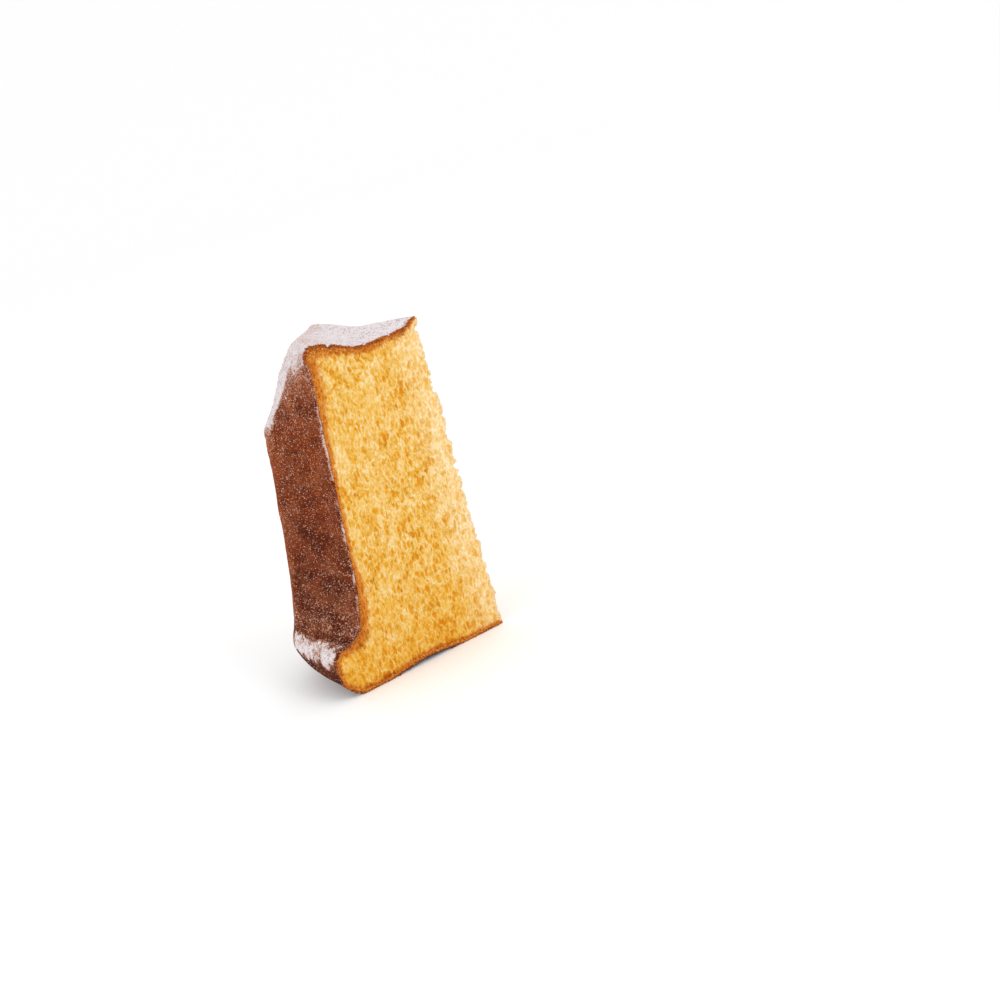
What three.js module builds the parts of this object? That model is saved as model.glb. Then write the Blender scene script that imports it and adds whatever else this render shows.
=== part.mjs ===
// A slice of pandoro, a tall star-shaped Italian Christmas cake.
//
// The cake is a tapering eight-pointed star, turned out of its tin and stood on its base. The slice
// is one of the eight points, cut out along the two valleys beside it and inwards to the cake's
// upright axis. Crust and crumb are one piece of dough, so the slice is one closed solid.
//
// Millimetres, +Z up. The slice stands on its base. Its star point looks along -X, its thin edge,
// where the two cuts meet, is on the +X side, and the origin is under the middle of its box.

import * as THREE from 'three';
import { mergeVertices } from 'three/addons/utils/BufferGeometryUtils.js';

// ---- driving dimensions ------------------------------------------------------------------------

const STAR_POINTS = 8;
const CUT_ANGLE = Math.PI / STAR_POINTS; // from the middle of the slice to either cut

const RIM_HEIGHT = 181.6; // the cake's height, to the rim round its top
const RIM_RADIUS = 60.4;
const RIM_RADIUS_AT_CUT = 59.8;
const SHOULDER_HEIGHT = 141.2; // where the star point ends and its sloping shoulder starts
const SHOULDER_RADIUS = 89.8;
const LIP_RADIUS = 109.4; // the lip round the base, where the dough rose out of the tin
const LIP_RADIUS_AT_CUT = 98.1;

// The crust's outline from the base up to the rim, once along a cut (the valley between two star
// points) and once along the ridge of the star point: [radius, height]. `rows` is how many rows of
// facets lie between a station and the next one.
const STATIONS = [
  { name: 'edge of the base', cut: [92.0, 2.8], ridge: [106.2, 20.3], rows: 2 },
  { name: 'under the lip', cut: [96.8, 8.6], ridge: [108.3, 22.4], rows: 2 },
  { name: 'lip', cut: [LIP_RADIUS_AT_CUT, 16.5], ridge: [LIP_RADIUS, 25.2], rows: 2 },
  { name: 'over the lip', cut: [97.2, 23.6], ridge: [109.0, 27.8], rows: 2 },
  { name: 'outside of the ledge', cut: [93.0, 27.3], ridge: [108.1, 30.6], rows: 2 },
  { name: 'middle of the ledge', cut: [87.2, 29.0], ridge: [106.9, 33.8], rows: 2 },
  { name: 'inside of the ledge', cut: [81.8, 32.0], ridge: [105.7, 37.6], rows: 3 },
  { name: 'foot of the panel', cut: [78.3, 40.0], ridge: [104.3, 44.0], rows: 3 },
  { name: 'low on the panel', cut: [75.8, 51.0], ridge: [102.4, 53.0], rows: 5 },
  { name: 'lower panel', cut: [73.5, 72.0], ridge: [99.2, 73.0], rows: 7 },
  { name: 'middle of the panel', cut: [70.6, 101.0], ridge: [95.4, 100.0], rows: 8 },
  { name: 'upper panel', cut: [67.5, 132.0], ridge: [92.2, 126.0], rows: 7 },
  { name: 'below the shoulder', cut: [65.4, 162.0], ridge: [90.9, 135.5], rows: 2 },
  { name: 'shoulder', cut: [65.0, 171.5], ridge: [SHOULDER_RADIUS, SHOULDER_HEIGHT], rows: 2 },
  { name: 'above the shoulder', cut: [65.0, 174.6], ridge: [86.3, 147.4], rows: 4 },
  { name: 'middle of the shoulder slope', cut: [64.6, 177.0], ridge: [77.0, 162.2], rows: 3 },
  { name: 'below the rim', cut: [63.4, 179.2], ridge: [68.6, 174.8], rows: 2 },
  { name: 'round of the rim', cut: [62.0, 180.7], ridge: [64.8, 179.6], rows: 2 },
  { name: 'rim', cut: [RIM_RADIUS_AT_CUT, RIM_HEIGHT], ridge: [RIM_RADIUS, RIM_HEIGHT], rows: 0 },
];

const RIDGE_ROUNDING = 0.14; // share of a panel's width that the ridge's rounding takes
const VALLEY_FILLET = 1.6; // how far the valley's round bottom lies outside a sharp one
const FILLET_START = 0.78; // share of a panel's width where that rounding starts
const FILLET_END = 1.25; // share where it would end, past the cut
const FAR_CORNER_WEAR = 0.07; // the rim's corner on the +Y cut is this much further in
const FAR_CORNER_START = 160.0; // height from which it leans in
const LIP_SAG = 1.8; // between the ridge and a cut, the lip hangs this far below a straight line
const LIP_BULGE = 2.6; // and stands out this far beyond one
const LIP_FADE = [24.0, 38.0]; // heights between which both fade out into the flat panel

const TOP_DISH_NEAR = 9.8; // the top sinks inside its rim, deeper on the -Y cut
const TOP_DISH_FAR = 5.6;
const TOP_DISH_RUN = 0.5; // share of the rim's radius over which it sinks
const TOP_DISH_AT_AXIS = 0.78; // share of the depth left at the cake's axis,
const TOP_AXIS_REACH = 0.16; // and share of the rim's radius over which the top rises to it

const BASE_FLAT_OUTER = 85.0; // the base stands on a ring between these two radii,
const BASE_FLAT_INNER = 74.0;
const BASE_FOOT_RADIUS = 20.0; // and on a spot about the axis,
const BASE_ARCH = 2.6; // and is arched between them
const BASE_LOBE_POWER = 1.35; // how the base curves up to the lip under the star point

const PORE_COUNT = 260; // the larger pores on each cut
const PORE_RADIUS = [1.8, 4.2];
const PORE_DEPTH = [0.5, 1.7];
const PORE_STRETCH = 1.5; // pores are this much longer upwards, as the dough rose
const RELIEF_MARGIN = 0.06; // share of a cut's width at its edges where its relief fades out
const CRUMB_SWELL = 0.5; // slow unevenness of the cuts,
const CRUMB_SWELL_SIZE = [17.0, 26.0]; // in waves of this width and height
const CRUST_SWELL = 0.55; // slow unevenness of the crust,
const SWELL_FADE = [30.0, 60.0]; // which sets in between these two heights, above the lip
const BANDS = { share: 0.45, perPanel: 1.3, height: 9.0 }; // its faint bands round the cake,
const HOLLOWS = { share: 0.55, perPanel: 2.2, height: 24.0 }; // and its broad hollows
const THIN_EDGE_TEAR = 1.5; // how far the thin edge's torn outline wanders
const TEAR_LENGTHS = [7.0, 3.2]; // lengths of its waves
const TEAR_SHARES = [0.6, 0.4]; // and how much each of them counts
const TEAR_REACH = 0.08; // share of the slice's depth that the tear reaches in

const COLUMNS_PER_PANEL = 8; // facets across each of the star point's two panels
const RINGS = 20; // facets from the crust in to the axis,
const RING_CROWDING = 0.9; // a little shorter towards the crust

const SEED = 45;
// Each random pattern draws its numbers from a layer of its own.
const LAYER = {
  nearPores: 10,
  farPores: 20,
  nearSwell: 30,
  farSwell: 31,
  bands: 40,
  hollows: 41,
  longTear: 50,
  shortTear: 51,
};
const LONG_TEAR_LANE = 3; // the waves of the tear run along one line of their layer
const SHORT_TEAR_LANE = 7;

const SAME_POINT = 1e-6; // points closer than this are one corner of a facet
const MERGE_DISTANCE = 1e-4; // and closer than this, one corner of the mesh

const CRUMB_COLOUR = 0xedbb63;

// ---- small helpers -----------------------------------------------------------------------------

const lerp = THREE.MathUtils.lerp;

function smooth(from, to, value) {
  return THREE.MathUtils.smoothstep(value, from, to);
}

// Three odd numbers that scramble a cell's address.
const SCRAMBLE_I = 374761393;
const SCRAMBLE_J = 668265263;
const SCRAMBLE_LAYER = 1274126177;

// A repeatable random number from 0 to 1 for a whole-number cell: its scrambled address, folded
// onto itself twice and read as a share of all 32-bit numbers.
function cellRandom(i, j, layer) {
  let bits = (i * SCRAMBLE_I + j * SCRAMBLE_J + (layer + SEED) * SCRAMBLE_LAYER) | 0;
  bits = Math.imul(bits ^ (bits >>> 13), SCRAMBLE_LAYER);
  bits ^= bits >>> 16;
  return (bits >>> 0) / 2 ** 32;
}

// Smooth random waves from -1 to 1: the cells' random values, blended between cell corners.
function waves(a, b, layer) {
  const i = Math.floor(a);
  const j = Math.floor(b);
  const fa = smooth(0, 1, a - i);
  const fb = smooth(0, 1, b - j);
  const low = lerp(cellRandom(i, j, layer), cellRandom(i + 1, j, layer), fa);
  const high = lerp(cellRandom(i, j + 1, layer), cellRandom(i + 1, j + 1, layer), fa);
  return 2 * lerp(low, high, fb) - 1;
}

// ---- the crust's outline -----------------------------------------------------------------------

// Distance along the outline to each station, the mean of the cut's and the ridge's.
function stationDistances() {
  const distances = [0];
  for (let k = 1; k < STATIONS.length; k += 1) {
    const before = STATIONS[k - 1];
    const here = STATIONS[k];
    const alongCut = Math.hypot(here.cut[0] - before.cut[0], here.cut[1] - before.cut[1]);
    const alongRidge = Math.hypot(here.ridge[0] - before.ridge[0], here.ridge[1] - before.ridge[1]);
    distances.push(distances[k - 1] + (alongCut + alongRidge) / 2);
  }
  return distances;
}

const DISTANCE = stationDistances();

// The slope of a smooth curve through the stations at station k.
function slopeAt(points, k) {
  const last = points.length - 1;
  if (k === 0 || k === last) {
    const a = Math.max(k - 1, 0);
    const b = Math.min(k + 1, last);
    const span = DISTANCE[b] - DISTANCE[a];
    return [(points[b][0] - points[a][0]) / span, (points[b][1] - points[a][1]) / span];
  }
  const before = DISTANCE[k] - DISTANCE[k - 1];
  const after = DISTANCE[k + 1] - DISTANCE[k];
  return [0, 1].map((axis) => {
    const slopeBefore = (points[k][axis] - points[k - 1][axis]) / before;
    const slopeAfter = (points[k + 1][axis] - points[k][axis]) / after;
    return (slopeBefore * after + slopeAfter * before) / (before + after);
  });
}

// The outline's [radius, height] at a share of the way from station k to the next one.
function curvePoint(points, k, share) {
  if (share === 0) {
    return points[k];
  }
  const span = DISTANCE[k + 1] - DISTANCE[k];
  const leave = slopeAt(points, k);
  const arrive = slopeAt(points, k + 1);
  const s2 = share * share;
  const s3 = s2 * share;
  return [0, 1].map(
    (axis) =>
      (2 * s3 - 3 * s2 + 1) * points[k][axis] +
      (s3 - 2 * s2 + share) * span * leave[axis] +
      (3 * s2 - 2 * s3) * points[k + 1][axis] +
      (s3 - s2) * span * arrive[axis],
  );
}

// Every row of facets: its point on the cut and its point on the ridge.
function outlineRows() {
  const cutPoints = STATIONS.map((station) => station.cut);
  const ridgePoints = STATIONS.map((station) => station.ridge);
  const rows = [];
  STATIONS.forEach((station, k) => {
    for (let step = 0; step < station.rows; step += 1) {
      const share = step / station.rows;
      rows.push({ cut: curvePoint(cutPoints, k, share), ridge: curvePoint(ridgePoints, k, share) });
    }
  });
  const top = STATIONS[STATIONS.length - 1];
  rows.push({ cut: top.cut, ridge: top.ridge });
  return rows;
}

const ROWS = outlineRows();
const TOP_ROW = ROWS.length - 1;

// A panel runs straight from the ridge (across = 0) to the cut (across = 1 or -1), with the ridge
// rounded and the valley filleted. Returns x outwards, y across and the height.
function crustPoint(row, across) {
  const { cut, ridge } = ROWS[row];
  const away = Math.abs(across);
  const full = Math.hypot(1, RIDGE_ROUNDING) - RIDGE_ROUNDING;
  const outwards = (Math.hypot(away, RIDGE_ROUNDING) - RIDGE_ROUNDING) / full;
  const filletHere = smooth(FILLET_START, FILLET_END, away);
  const filletAtCut = smooth(FILLET_START, FILLET_END, 1);
  const fillet = VALLEY_FILLET * (filletHere - filletAtCut * outwards);

  const height = lerp(ridge[1], cut[1], outwards);
  const lobe = Math.sin(Math.PI * away) * (1 - smooth(LIP_FADE[0], LIP_FADE[1], height));
  const lean = 1 - FAR_CORNER_WEAR * smooth(0, 1, across) * smooth(FAR_CORNER_START, RIM_HEIGHT, height);

  const straightX = lerp(ridge[0], cut[0] * Math.cos(CUT_ANGLE), outwards);
  const x = (straightX + fillet + LIP_BULGE * lobe) * lean;
  const y = cut[0] * Math.sin(CUT_ANGLE) * across * lean;
  return [x, y, height - LIP_SAG * lobe];
}

// ---- top and base ------------------------------------------------------------------------------

// Height of the top at a share of the way out from the axis to the rim.
function topHeight(share, across, rim) {
  const nearness = (1 - across) / 2;
  const evenDepth = (TOP_DISH_NEAR + TOP_DISH_FAR) / 2;
  const sideDepth = lerp(TOP_DISH_FAR, TOP_DISH_NEAR, nearness);
  const depth = lerp(evenDepth, sideDepth, smooth(0, TOP_AXIS_REACH, share));
  const sink = smooth(0, TOP_DISH_RUN, 1 - share);
  const rise = lerp(TOP_DISH_AT_AXIS, 1, smooth(0, TOP_AXIS_REACH, share));
  return rim - depth * sink * rise;
}

// Height of the base at a radius, where `edge` is the radius and height of its outer edge.
function baseHeight(radius, edge) {
  if (radius >= BASE_FLAT_OUTER) {
    const share = (radius - BASE_FLAT_OUTER) / (edge.radius - BASE_FLAT_OUTER);
    return edge.height * Math.pow(share, BASE_LOBE_POWER);
  }
  if (radius >= BASE_FLAT_INNER || radius <= BASE_FOOT_RADIUS) {
    return 0;
  }
  const share = (radius - BASE_FOOT_RADIUS) / (BASE_FLAT_INNER - BASE_FOOT_RADIUS);
  return BASE_ARCH * Math.pow(Math.sin(Math.PI * share), 2);
}

// ---- relief ------------------------------------------------------------------------------------

// Pores in one cut: where they are, how wide and how deep.
function scatterPores(layer) {
  const pores = [];
  for (let k = 0; k < PORE_COUNT; k += 1) {
    pores.push({
      radius: lerp(0, LIP_RADIUS_AT_CUT, cellRandom(k, 1, layer)),
      height: lerp(0, RIM_HEIGHT, cellRandom(k, 2, layer)),
      width: lerp(PORE_RADIUS[0], PORE_RADIUS[1], Math.pow(cellRandom(k, 3, layer), 2)),
      depth: lerp(PORE_DEPTH[0], PORE_DEPTH[1], cellRandom(k, 4, layer)),
    });
  }
  return pores;
}

const PORES = { near: scatterPores(LAYER.nearPores), far: scatterPores(LAYER.farPores) };

// How deep a cut's surface lies behind its flat plane: the deepest pore there, and slow waves.
function cutDepth(radius, height, side) {
  const pores = side < 0 ? PORES.near : PORES.far;
  let deepest = 0;
  for (const pore of pores) {
    const along = (radius - pore.radius) / pore.width;
    const up = (height - pore.height) / (pore.width * PORE_STRETCH);
    const away = along * along + up * up;
    if (away < 1) {
      deepest = Math.max(deepest, pore.depth * (1 - away));
    }
  }
  const [width, tall] = CRUMB_SWELL_SIZE;
  const layer = side < 0 ? LAYER.nearSwell : LAYER.farSwell;
  return deepest + CRUMB_SWELL * (1 + waves(radius / width, height / tall, layer));
}

// How far the crust lies inside its outline: faint bands round the cake, and broad hollows.
function crustSwell(row, across) {
  const height = ROWS[row].cut[1];
  const bands = waves(across * BANDS.perPanel, height / BANDS.height, LAYER.bands);
  const hollows = waves(across * HOLLOWS.perPanel, height / HOLLOWS.height, LAYER.hollows);
  return CRUST_SWELL * (1 + BANDS.share * bands + HOLLOWS.share * hollows);
}

// How far the torn thin edge wanders at a height: long waves with short ones on them.
function edgeTear(height) {
  const longWave = waves(height / TEAR_LENGTHS[0], LONG_TEAR_LANE, LAYER.longTear);
  const shortWave = waves(height / TEAR_LENGTHS[1], SHORT_TEAR_LANE, LAYER.shortTear);
  return THIN_EDGE_TEAR * (TEAR_SHARES[0] * longWave + TEAR_SHARES[1] * shortWave);
}

// 0 at both ends of a share from 0 to 1, and 1 away from them.
function edgeFade(share, margin) {
  return smooth(0, margin, share) * smooth(0, margin, 1 - share);
}

// ---- the whole slice ---------------------------------------------------------------------------

// A point of the slice: `share` of the way from the axis to the crust, `across` from the -Y cut
// (-1) to the +Y cut (1), and a row of the outline from the base (0) to the top.
function slicePoint(share, across, row) {
  const side = crustPoint(row, across);
  const edge = crustPoint(0, across);
  const rim = crustPoint(TOP_ROW, across);
  const up = (side[2] - edge[2]) / (rim[2] - edge[2]);

  const baseEdge = { radius: Math.hypot(edge[0], edge[1]), height: edge[2] };
  const low = baseHeight(share * baseEdge.radius, baseEdge);
  const high = topHeight(share, across, rim[2]);
  const height = lerp(low, high, up);

  // The crust lies a little inside its outline, but not at the lip, which sets the slice's size.
  const inwards = crustSwell(row, across) * smooth(SWELL_FADE[0], SWELL_FADE[1], side[2]);
  let x = -share * (side[0] - inwards);
  let y = share * side[1];

  // Relief on the two cuts, fading to nothing where they meet the crust.
  if (Math.abs(across) === 1) {
    const fadeOut = edgeFade(share, RELIEF_MARGIN) * edgeFade(up, RELIEF_MARGIN / 2);
    const depth = fadeOut * cutDepth(share * Math.hypot(side[0], side[1]), height, across);
    x -= depth * Math.sin(CUT_ANGLE);
    y -= depth * Math.cos(CUT_ANGLE) * across;
  }

  // The thin edge is torn rather than cut clean.
  const nearAxis = 1 - smooth(0, TEAR_REACH, share);
  x += edgeTear(height) * nearAxis * smooth(0, RELIEF_MARGIN, up);
  return new THREE.Vector3(x, y, height);
}

// One side of the slice as a grid of facets, pushed onto `corners` three points at a time.
function addSheet(corners, rows, columns, pointAt) {
  for (let i = 0; i < rows; i += 1) {
    for (let j = 0; j < columns; j += 1) {
      const a = pointAt(i, j);
      const b = pointAt(i + 1, j);
      const c = pointAt(i + 1, j + 1);
      const d = pointAt(i, j + 1);
      const facets = (i + j) % 2 === 0 ? [[a, b, c], [a, c, d]] : [[a, b, d], [b, c, d]];
      for (const facet of facets) {
        const [p, q, r] = facet;
        if ([[p, q], [q, r], [r, p]].every(([from, to]) => from.distanceTo(to) > SAME_POINT)) {
          corners.push(p, q, r);
        }
      }
    }
  }
}

// Share of the way out for ring k: the rings are closer together near the crust.
function ringShare(k) {
  return Math.pow(k / RINGS, RING_CROWDING);
}

function sliceGeometry() {
  const columns = 2 * COLUMNS_PER_PANEL;
  const acrossAt = (i) => i / COLUMNS_PER_PANEL - 1;
  const corners = [];
  addSheet(corners, TOP_ROW, columns, (row, i) => slicePoint(1, acrossAt(i), row));
  addSheet(corners, columns, RINGS, (i, k) => slicePoint(ringShare(k), acrossAt(i), TOP_ROW));
  addSheet(corners, RINGS, columns, (k, i) => slicePoint(ringShare(k), acrossAt(i), 0));
  addSheet(corners, RINGS, TOP_ROW, (k, row) => slicePoint(ringShare(k), 1, row));
  addSheet(corners, TOP_ROW, RINGS, (row, k) => slicePoint(ringShare(k), -1, row));

  const loose = new THREE.BufferGeometry().setFromPoints(corners);
  const geometry = mergeVertices(loose, MERGE_DISTANCE);
  geometry.computeBoundingBox();
  const middle = geometry.boundingBox.getCenter(new THREE.Vector3());
  geometry.translate(-middle.x, -middle.y, -geometry.boundingBox.min.z);
  geometry.computeVertexNormals();
  return geometry;
}

const crumb = new THREE.MeshStandardMaterial({
  color: CRUMB_COLOUR,
  roughness: 0.85,
  metalness: 0,
});

const slice = new THREE.Mesh(sliceGeometry(), crumb);
slice.name = 'pandoro_slice';

const pandoro = new THREE.Group();
pandoro.add(slice);

export default pandoro;
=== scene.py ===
# %% [markdown]
# # A slice of pandoro
# Pandoro is a tall cake with eight star points, baked in a fluted tin, turned out and dusted with
# icing sugar. This lesson dresses one of its eight points, cut out as a wedge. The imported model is
# the plain solid of that wedge. Here it gets what an eye would look for: an open yellow crumb on
# the two cuts, a thin brown crust round the outside, and the sugar on top of it.
#
# Everything is worked out in millimetres and turned into metres when a mesh is made.

# %% The frame
import math

import bpy
import numpy as np
from mathutils import Matrix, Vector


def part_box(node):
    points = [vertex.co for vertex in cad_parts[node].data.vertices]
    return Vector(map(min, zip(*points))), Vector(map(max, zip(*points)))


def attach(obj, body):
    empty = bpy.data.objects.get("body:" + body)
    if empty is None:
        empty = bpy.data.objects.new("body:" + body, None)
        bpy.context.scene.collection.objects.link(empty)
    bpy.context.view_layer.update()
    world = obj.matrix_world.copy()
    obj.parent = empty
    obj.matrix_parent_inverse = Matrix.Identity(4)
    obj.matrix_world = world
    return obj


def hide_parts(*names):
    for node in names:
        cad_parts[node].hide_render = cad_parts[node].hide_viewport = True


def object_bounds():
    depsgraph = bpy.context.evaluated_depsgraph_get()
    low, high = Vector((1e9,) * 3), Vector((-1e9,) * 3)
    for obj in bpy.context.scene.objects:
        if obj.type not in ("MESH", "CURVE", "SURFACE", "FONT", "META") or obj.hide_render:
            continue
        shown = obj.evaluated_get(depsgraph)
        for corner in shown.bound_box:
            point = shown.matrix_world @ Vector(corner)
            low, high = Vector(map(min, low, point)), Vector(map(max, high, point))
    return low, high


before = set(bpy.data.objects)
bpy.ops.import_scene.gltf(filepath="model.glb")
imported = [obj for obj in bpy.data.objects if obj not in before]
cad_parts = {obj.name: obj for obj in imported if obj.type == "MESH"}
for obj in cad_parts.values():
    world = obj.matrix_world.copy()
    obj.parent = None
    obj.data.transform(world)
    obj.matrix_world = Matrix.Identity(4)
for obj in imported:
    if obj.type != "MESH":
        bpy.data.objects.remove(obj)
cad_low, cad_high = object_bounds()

MM = 0.001
CAKE = "pandoro_slice"
slice_low, slice_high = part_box(CAKE)
print("solid slice, mm:", [round((high - low) / MM, 1) for low, high in zip(slice_low, slice_high)])

# %% [markdown]
# ## The camera
# The slice is modelled standing on its base, but it is seen leaning to the left by about sixteen
# degrees. Leaning the model would stop it from resting on the floor, so the camera is rolled
# instead: to the eye the two are the same. The camera looks down at about twenty degrees, from
# almost a metre away. It aims beside the slice, because the slice isn't in the middle of the view.

# %% The camera
LIP_RADIUS = 109.4
AXIS_X = slice_low.x / MM + LIP_RADIUS  # where the whole cake's upright axis stands

CAMERA_AZIMUTH = math.radians(-4.392)
CAMERA_ELEVATION = math.radians(20.044)
CAMERA_ROLL = math.radians(-15.681)
CAMERA_DISTANCE = 899.76
CAMERA_LENS = 61.727
CAMERA_AIM = np.array([AXIS_X + 16.39, 0.0, 67.6])


def camera_axes(azimuth, elevation, roll):
    """The camera's right, up and backward directions: level axes first, then turned by the roll."""
    back = np.array([
        math.sin(azimuth) * math.cos(elevation),
        -math.cos(azimuth) * math.cos(elevation),
        math.sin(elevation),
    ])
    level = np.array([math.cos(azimuth), math.sin(azimuth), 0.0])
    right = math.cos(roll) * level + math.sin(roll) * np.cross(back, level)
    return right, np.cross(back, right), back


def make_camera():
    data = bpy.data.cameras.new("camera")
    data.lens = CAMERA_LENS
    camera = bpy.data.objects.new("camera", data)
    bpy.context.scene.collection.objects.link(camera)
    right, up, back = camera_axes(CAMERA_AZIMUTH, CAMERA_ELEVATION, CAMERA_ROLL)
    placed = np.eye(4)
    placed[:3, :3] = np.column_stack([right, up, back])
    placed[:3, 3] = (CAMERA_AIM + CAMERA_DISTANCE * back) * MM
    camera.matrix_world = Matrix(placed.tolist())
    bpy.context.scene.camera = camera
    return camera


camera = make_camera()
print("camera at, m:", [round(value, 3) for value in camera.matrix_world.translation])

# %% [markdown]
# ## The outline of the cake
# A tin gives its cake one outline along the ridge of a star point and another along the valley
# between two points. Both run through the same named stations, from the edge of the base, over
# the lip that rose out of the tin, up the panel and over the shoulder to the rim. A smooth curve
# through a few stations is easier to correct than a long list of points.

# %% The stations of the outline
CUT_ANGLE = math.pi / 8  # from the middle of the slice to either cut
RIM_HEIGHT = 181.6

# Radius and height on the cut, then radius and height on the ridge.
STATIONS = {
    "edge of the base": (92.0, 2.8, 106.2, 20.3),
    "under the lip": (96.8, 8.6, 108.3, 22.4),
    "lip": (98.1, 16.5, LIP_RADIUS, 25.2),
    "over the lip": (97.2, 23.6, 109.0, 27.8),
    "outside of the ledge": (93.0, 27.3, 108.1, 30.6),
    "middle of the ledge": (87.2, 29.0, 106.9, 33.8),
    "inside of the ledge": (81.8, 32.0, 105.7, 37.6),
    "foot of the panel": (78.3, 40.0, 104.3, 44.0),
    "low on the panel": (75.8, 51.0, 102.4, 53.0),
    "lower panel": (73.5, 72.0, 99.2, 73.0),
    "middle of the panel": (70.6, 101.0, 95.4, 100.0),
    "upper panel": (67.5, 132.0, 92.2, 126.0),
    "below the shoulder": (65.4, 162.0, 90.9, 135.5),
    "shoulder": (65.0, 171.5, 89.8, 141.2),
    "above the shoulder": (65.0, 174.6, 86.3, 147.4),
    "middle of the shoulder slope": (64.6, 177.0, 77.0, 162.2),
    "below the rim": (63.4, 179.2, 68.6, 174.8),
    "round of the rim": (62.0, 180.7, 64.8, 179.6),
    "rim": (59.8, RIM_HEIGHT, 60.4, RIM_HEIGHT),
}

stations = np.array(list(STATIONS.values()))
steps = np.diff(stations, axis=0)
lengths = (np.hypot(steps[:, 0], steps[:, 1]) + np.hypot(steps[:, 2], steps[:, 3])) / 2
distances = np.concatenate([[0.0], np.cumsum(lengths)])
OUTLINE = distances[-1]

chords = steps / lengths[:, None]
slopes = np.concatenate([chords[:1], chords, chords[-1:]])[:-1]
before, after = lengths[:-1, None], lengths[1:, None]
slopes[1:-1] = (chords[:-1] * after + chords[1:] * before) / (before + after)


def station(name):
    """Distance along the outline of a named station."""
    return distances[list(STATIONS).index(name)]


def station_path(name):
    """The same place on a path that runs along the base (0 to 1), up the side (1 to 2) and along
    the top back to the axis (2 to 3)."""
    return 1 + station(name) / OUTLINE


def outline(along):
    """Cubic curves through the stations, with the slope at each one the mean of the slopes of its
    two chords, the shorter chord weighing more. Returns cut radius and height, then the ridge's."""
    k = np.clip(np.searchsorted(distances, along, side="right") - 1, 0, len(lengths) - 1)
    span = lengths[k][..., None]
    s = (along[..., None] - distances[k][..., None]) / span
    points = (
        (2 * s**3 - 3 * s**2 + 1) * stations[k]
        + (s**3 - 2 * s**2 + s) * span * slopes[k]
        + (3 * s**2 - 2 * s**3) * stations[k + 1]
        + (s**3 - s**2) * span * slopes[k + 1]
    )
    return np.moveaxis(points, -1, 0)


OUTLINE_SAMPLES = 2000


def even_rows(count):
    """Distances along the outline that are evenly spaced on the cut."""
    along = np.linspace(0, OUTLINE, OUTLINE_SAMPLES)
    radius, height = outline(along)[:2]
    walked = np.concatenate([[0], np.cumsum(np.hypot(np.diff(radius), np.diff(height)))])
    return np.interp(np.linspace(0, walked[-1], count), walked, along)


print("outline, mm:", round(OUTLINE, 1), "through", len(STATIONS), "stations")

# %% [markdown]
# ## Random numbers that repeat
# Bread is uneven everywhere, and yet it has to come out the same each time. Each whole-number cell
# of the plane gets its own number by scrambling its two addresses, so no list of random numbers is
# kept. Two patterns come from that: soft waves, which blend the numbers of neighbouring cells, and
# scattered points, one in each cell, whose nearest distances give bubbles with walls between them.

# %% Waves and bubbles
SEED = 45

# Each pattern draws its numbers from the layer given here, and from a few after it where it needs
# more. The first four are the solid's. Streaks, margin and dents meet in a few layers, but at
# sizes so different that it doesn't show.
LAYER = {
    "bands": 40,
    "hollows": 41,
    "long tear": 50,
    "short tear": 51,
    "bites": 52,
    "near cut": 60,
    "sugar edge": 90,
    "dust": 91,
    "streaks": 92,
    "margin": 94,
    "dents": 95,
    "thickness": 100,
    "broken edge": 104,
    "sugar": 110,
    "clumps": 120,
    "far cut": 160,
}
SCRAMBLE_I, SCRAMBLE_J, SCRAMBLE_LAYER = 374761393, 668265263, 1274126177


def smooth(start, end, value):
    """0 before start, 1 after end, and a smooth step between them."""
    s = np.clip((value - start) / (end - start), 0.0, 1.0)
    return s * s * (3 - 2 * s)


def lerp(first, second, share):
    return first + (second - first) * share


def cell_random(i, j, layer):
    """A number from 0 to 1 for each cell: 32-bit products of its addresses, folded twice."""
    mask = np.uint64(0xFFFFFFFF)
    mixed = i.astype(np.int64) * SCRAMBLE_I + j.astype(np.int64) * SCRAMBLE_J
    bits = (mixed + (layer + SEED) * SCRAMBLE_LAYER).astype(np.uint64) & mask
    bits = ((bits ^ (bits >> np.uint64(13))) * np.uint64(SCRAMBLE_LAYER)) & mask
    bits ^= bits >> np.uint64(16)
    return bits.astype(float) / 2**32


def waves(a, b, layer):
    """Smooth random waves from -1 to 1: the numbers at a cell's corners, blended across it."""
    i, j = np.floor(a), np.floor(b)
    fa, fb = smooth(0, 1, a - i), smooth(0, 1, b - j)
    low = lerp(cell_random(i, j, layer), cell_random(i + 1, j, layer), fa)
    high = lerp(cell_random(i, j + 1, layer), cell_random(i + 1, j + 1, layer), fa)
    return 2 * lerp(low, high, fb) - 1


TOO_FAR = 9.0  # cell widths: farther than any point that is looked at


def bubbles(a, b, layer):
    """Distance to the nearest and to the second nearest of the points that are scattered one to a
    cell, and the nearest one's own number."""
    i, j = np.floor(a), np.floor(b)
    nearest = np.full(a.shape, TOO_FAR)
    second = nearest.copy()
    number = np.zeros(a.shape)
    for di in (-1, 0, 1):
        for dj in (-1, 0, 1):
            ci, cj = i + di, j + dj
            away = np.hypot(
                a - ci - cell_random(ci, cj, layer),
                b - cj - cell_random(ci, cj, layer + 1),
            )
            closer = away < nearest
            second = np.where(closer, nearest, np.minimum(second, away))
            number = np.where(closer, cell_random(ci, cj, layer + 2), number)
            nearest = np.minimum(nearest, away)
    return nearest, second, number


print("first waves:", waves(np.array([0.5, 7.2]), np.array([0.5, 3.1]), 1).round(3))

# %% [markdown]
# ## One formula for the whole slice
# Every point of the slice is named by three numbers: its share of the way out from the cake's axis
# to the crust, how far across it lies from the near cut (-1) to the far one (1), and how far along
# the outline. The crumb, the crust and the sugar all ask this one formula for their places, so they
# fit each other without any trimming.

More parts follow.
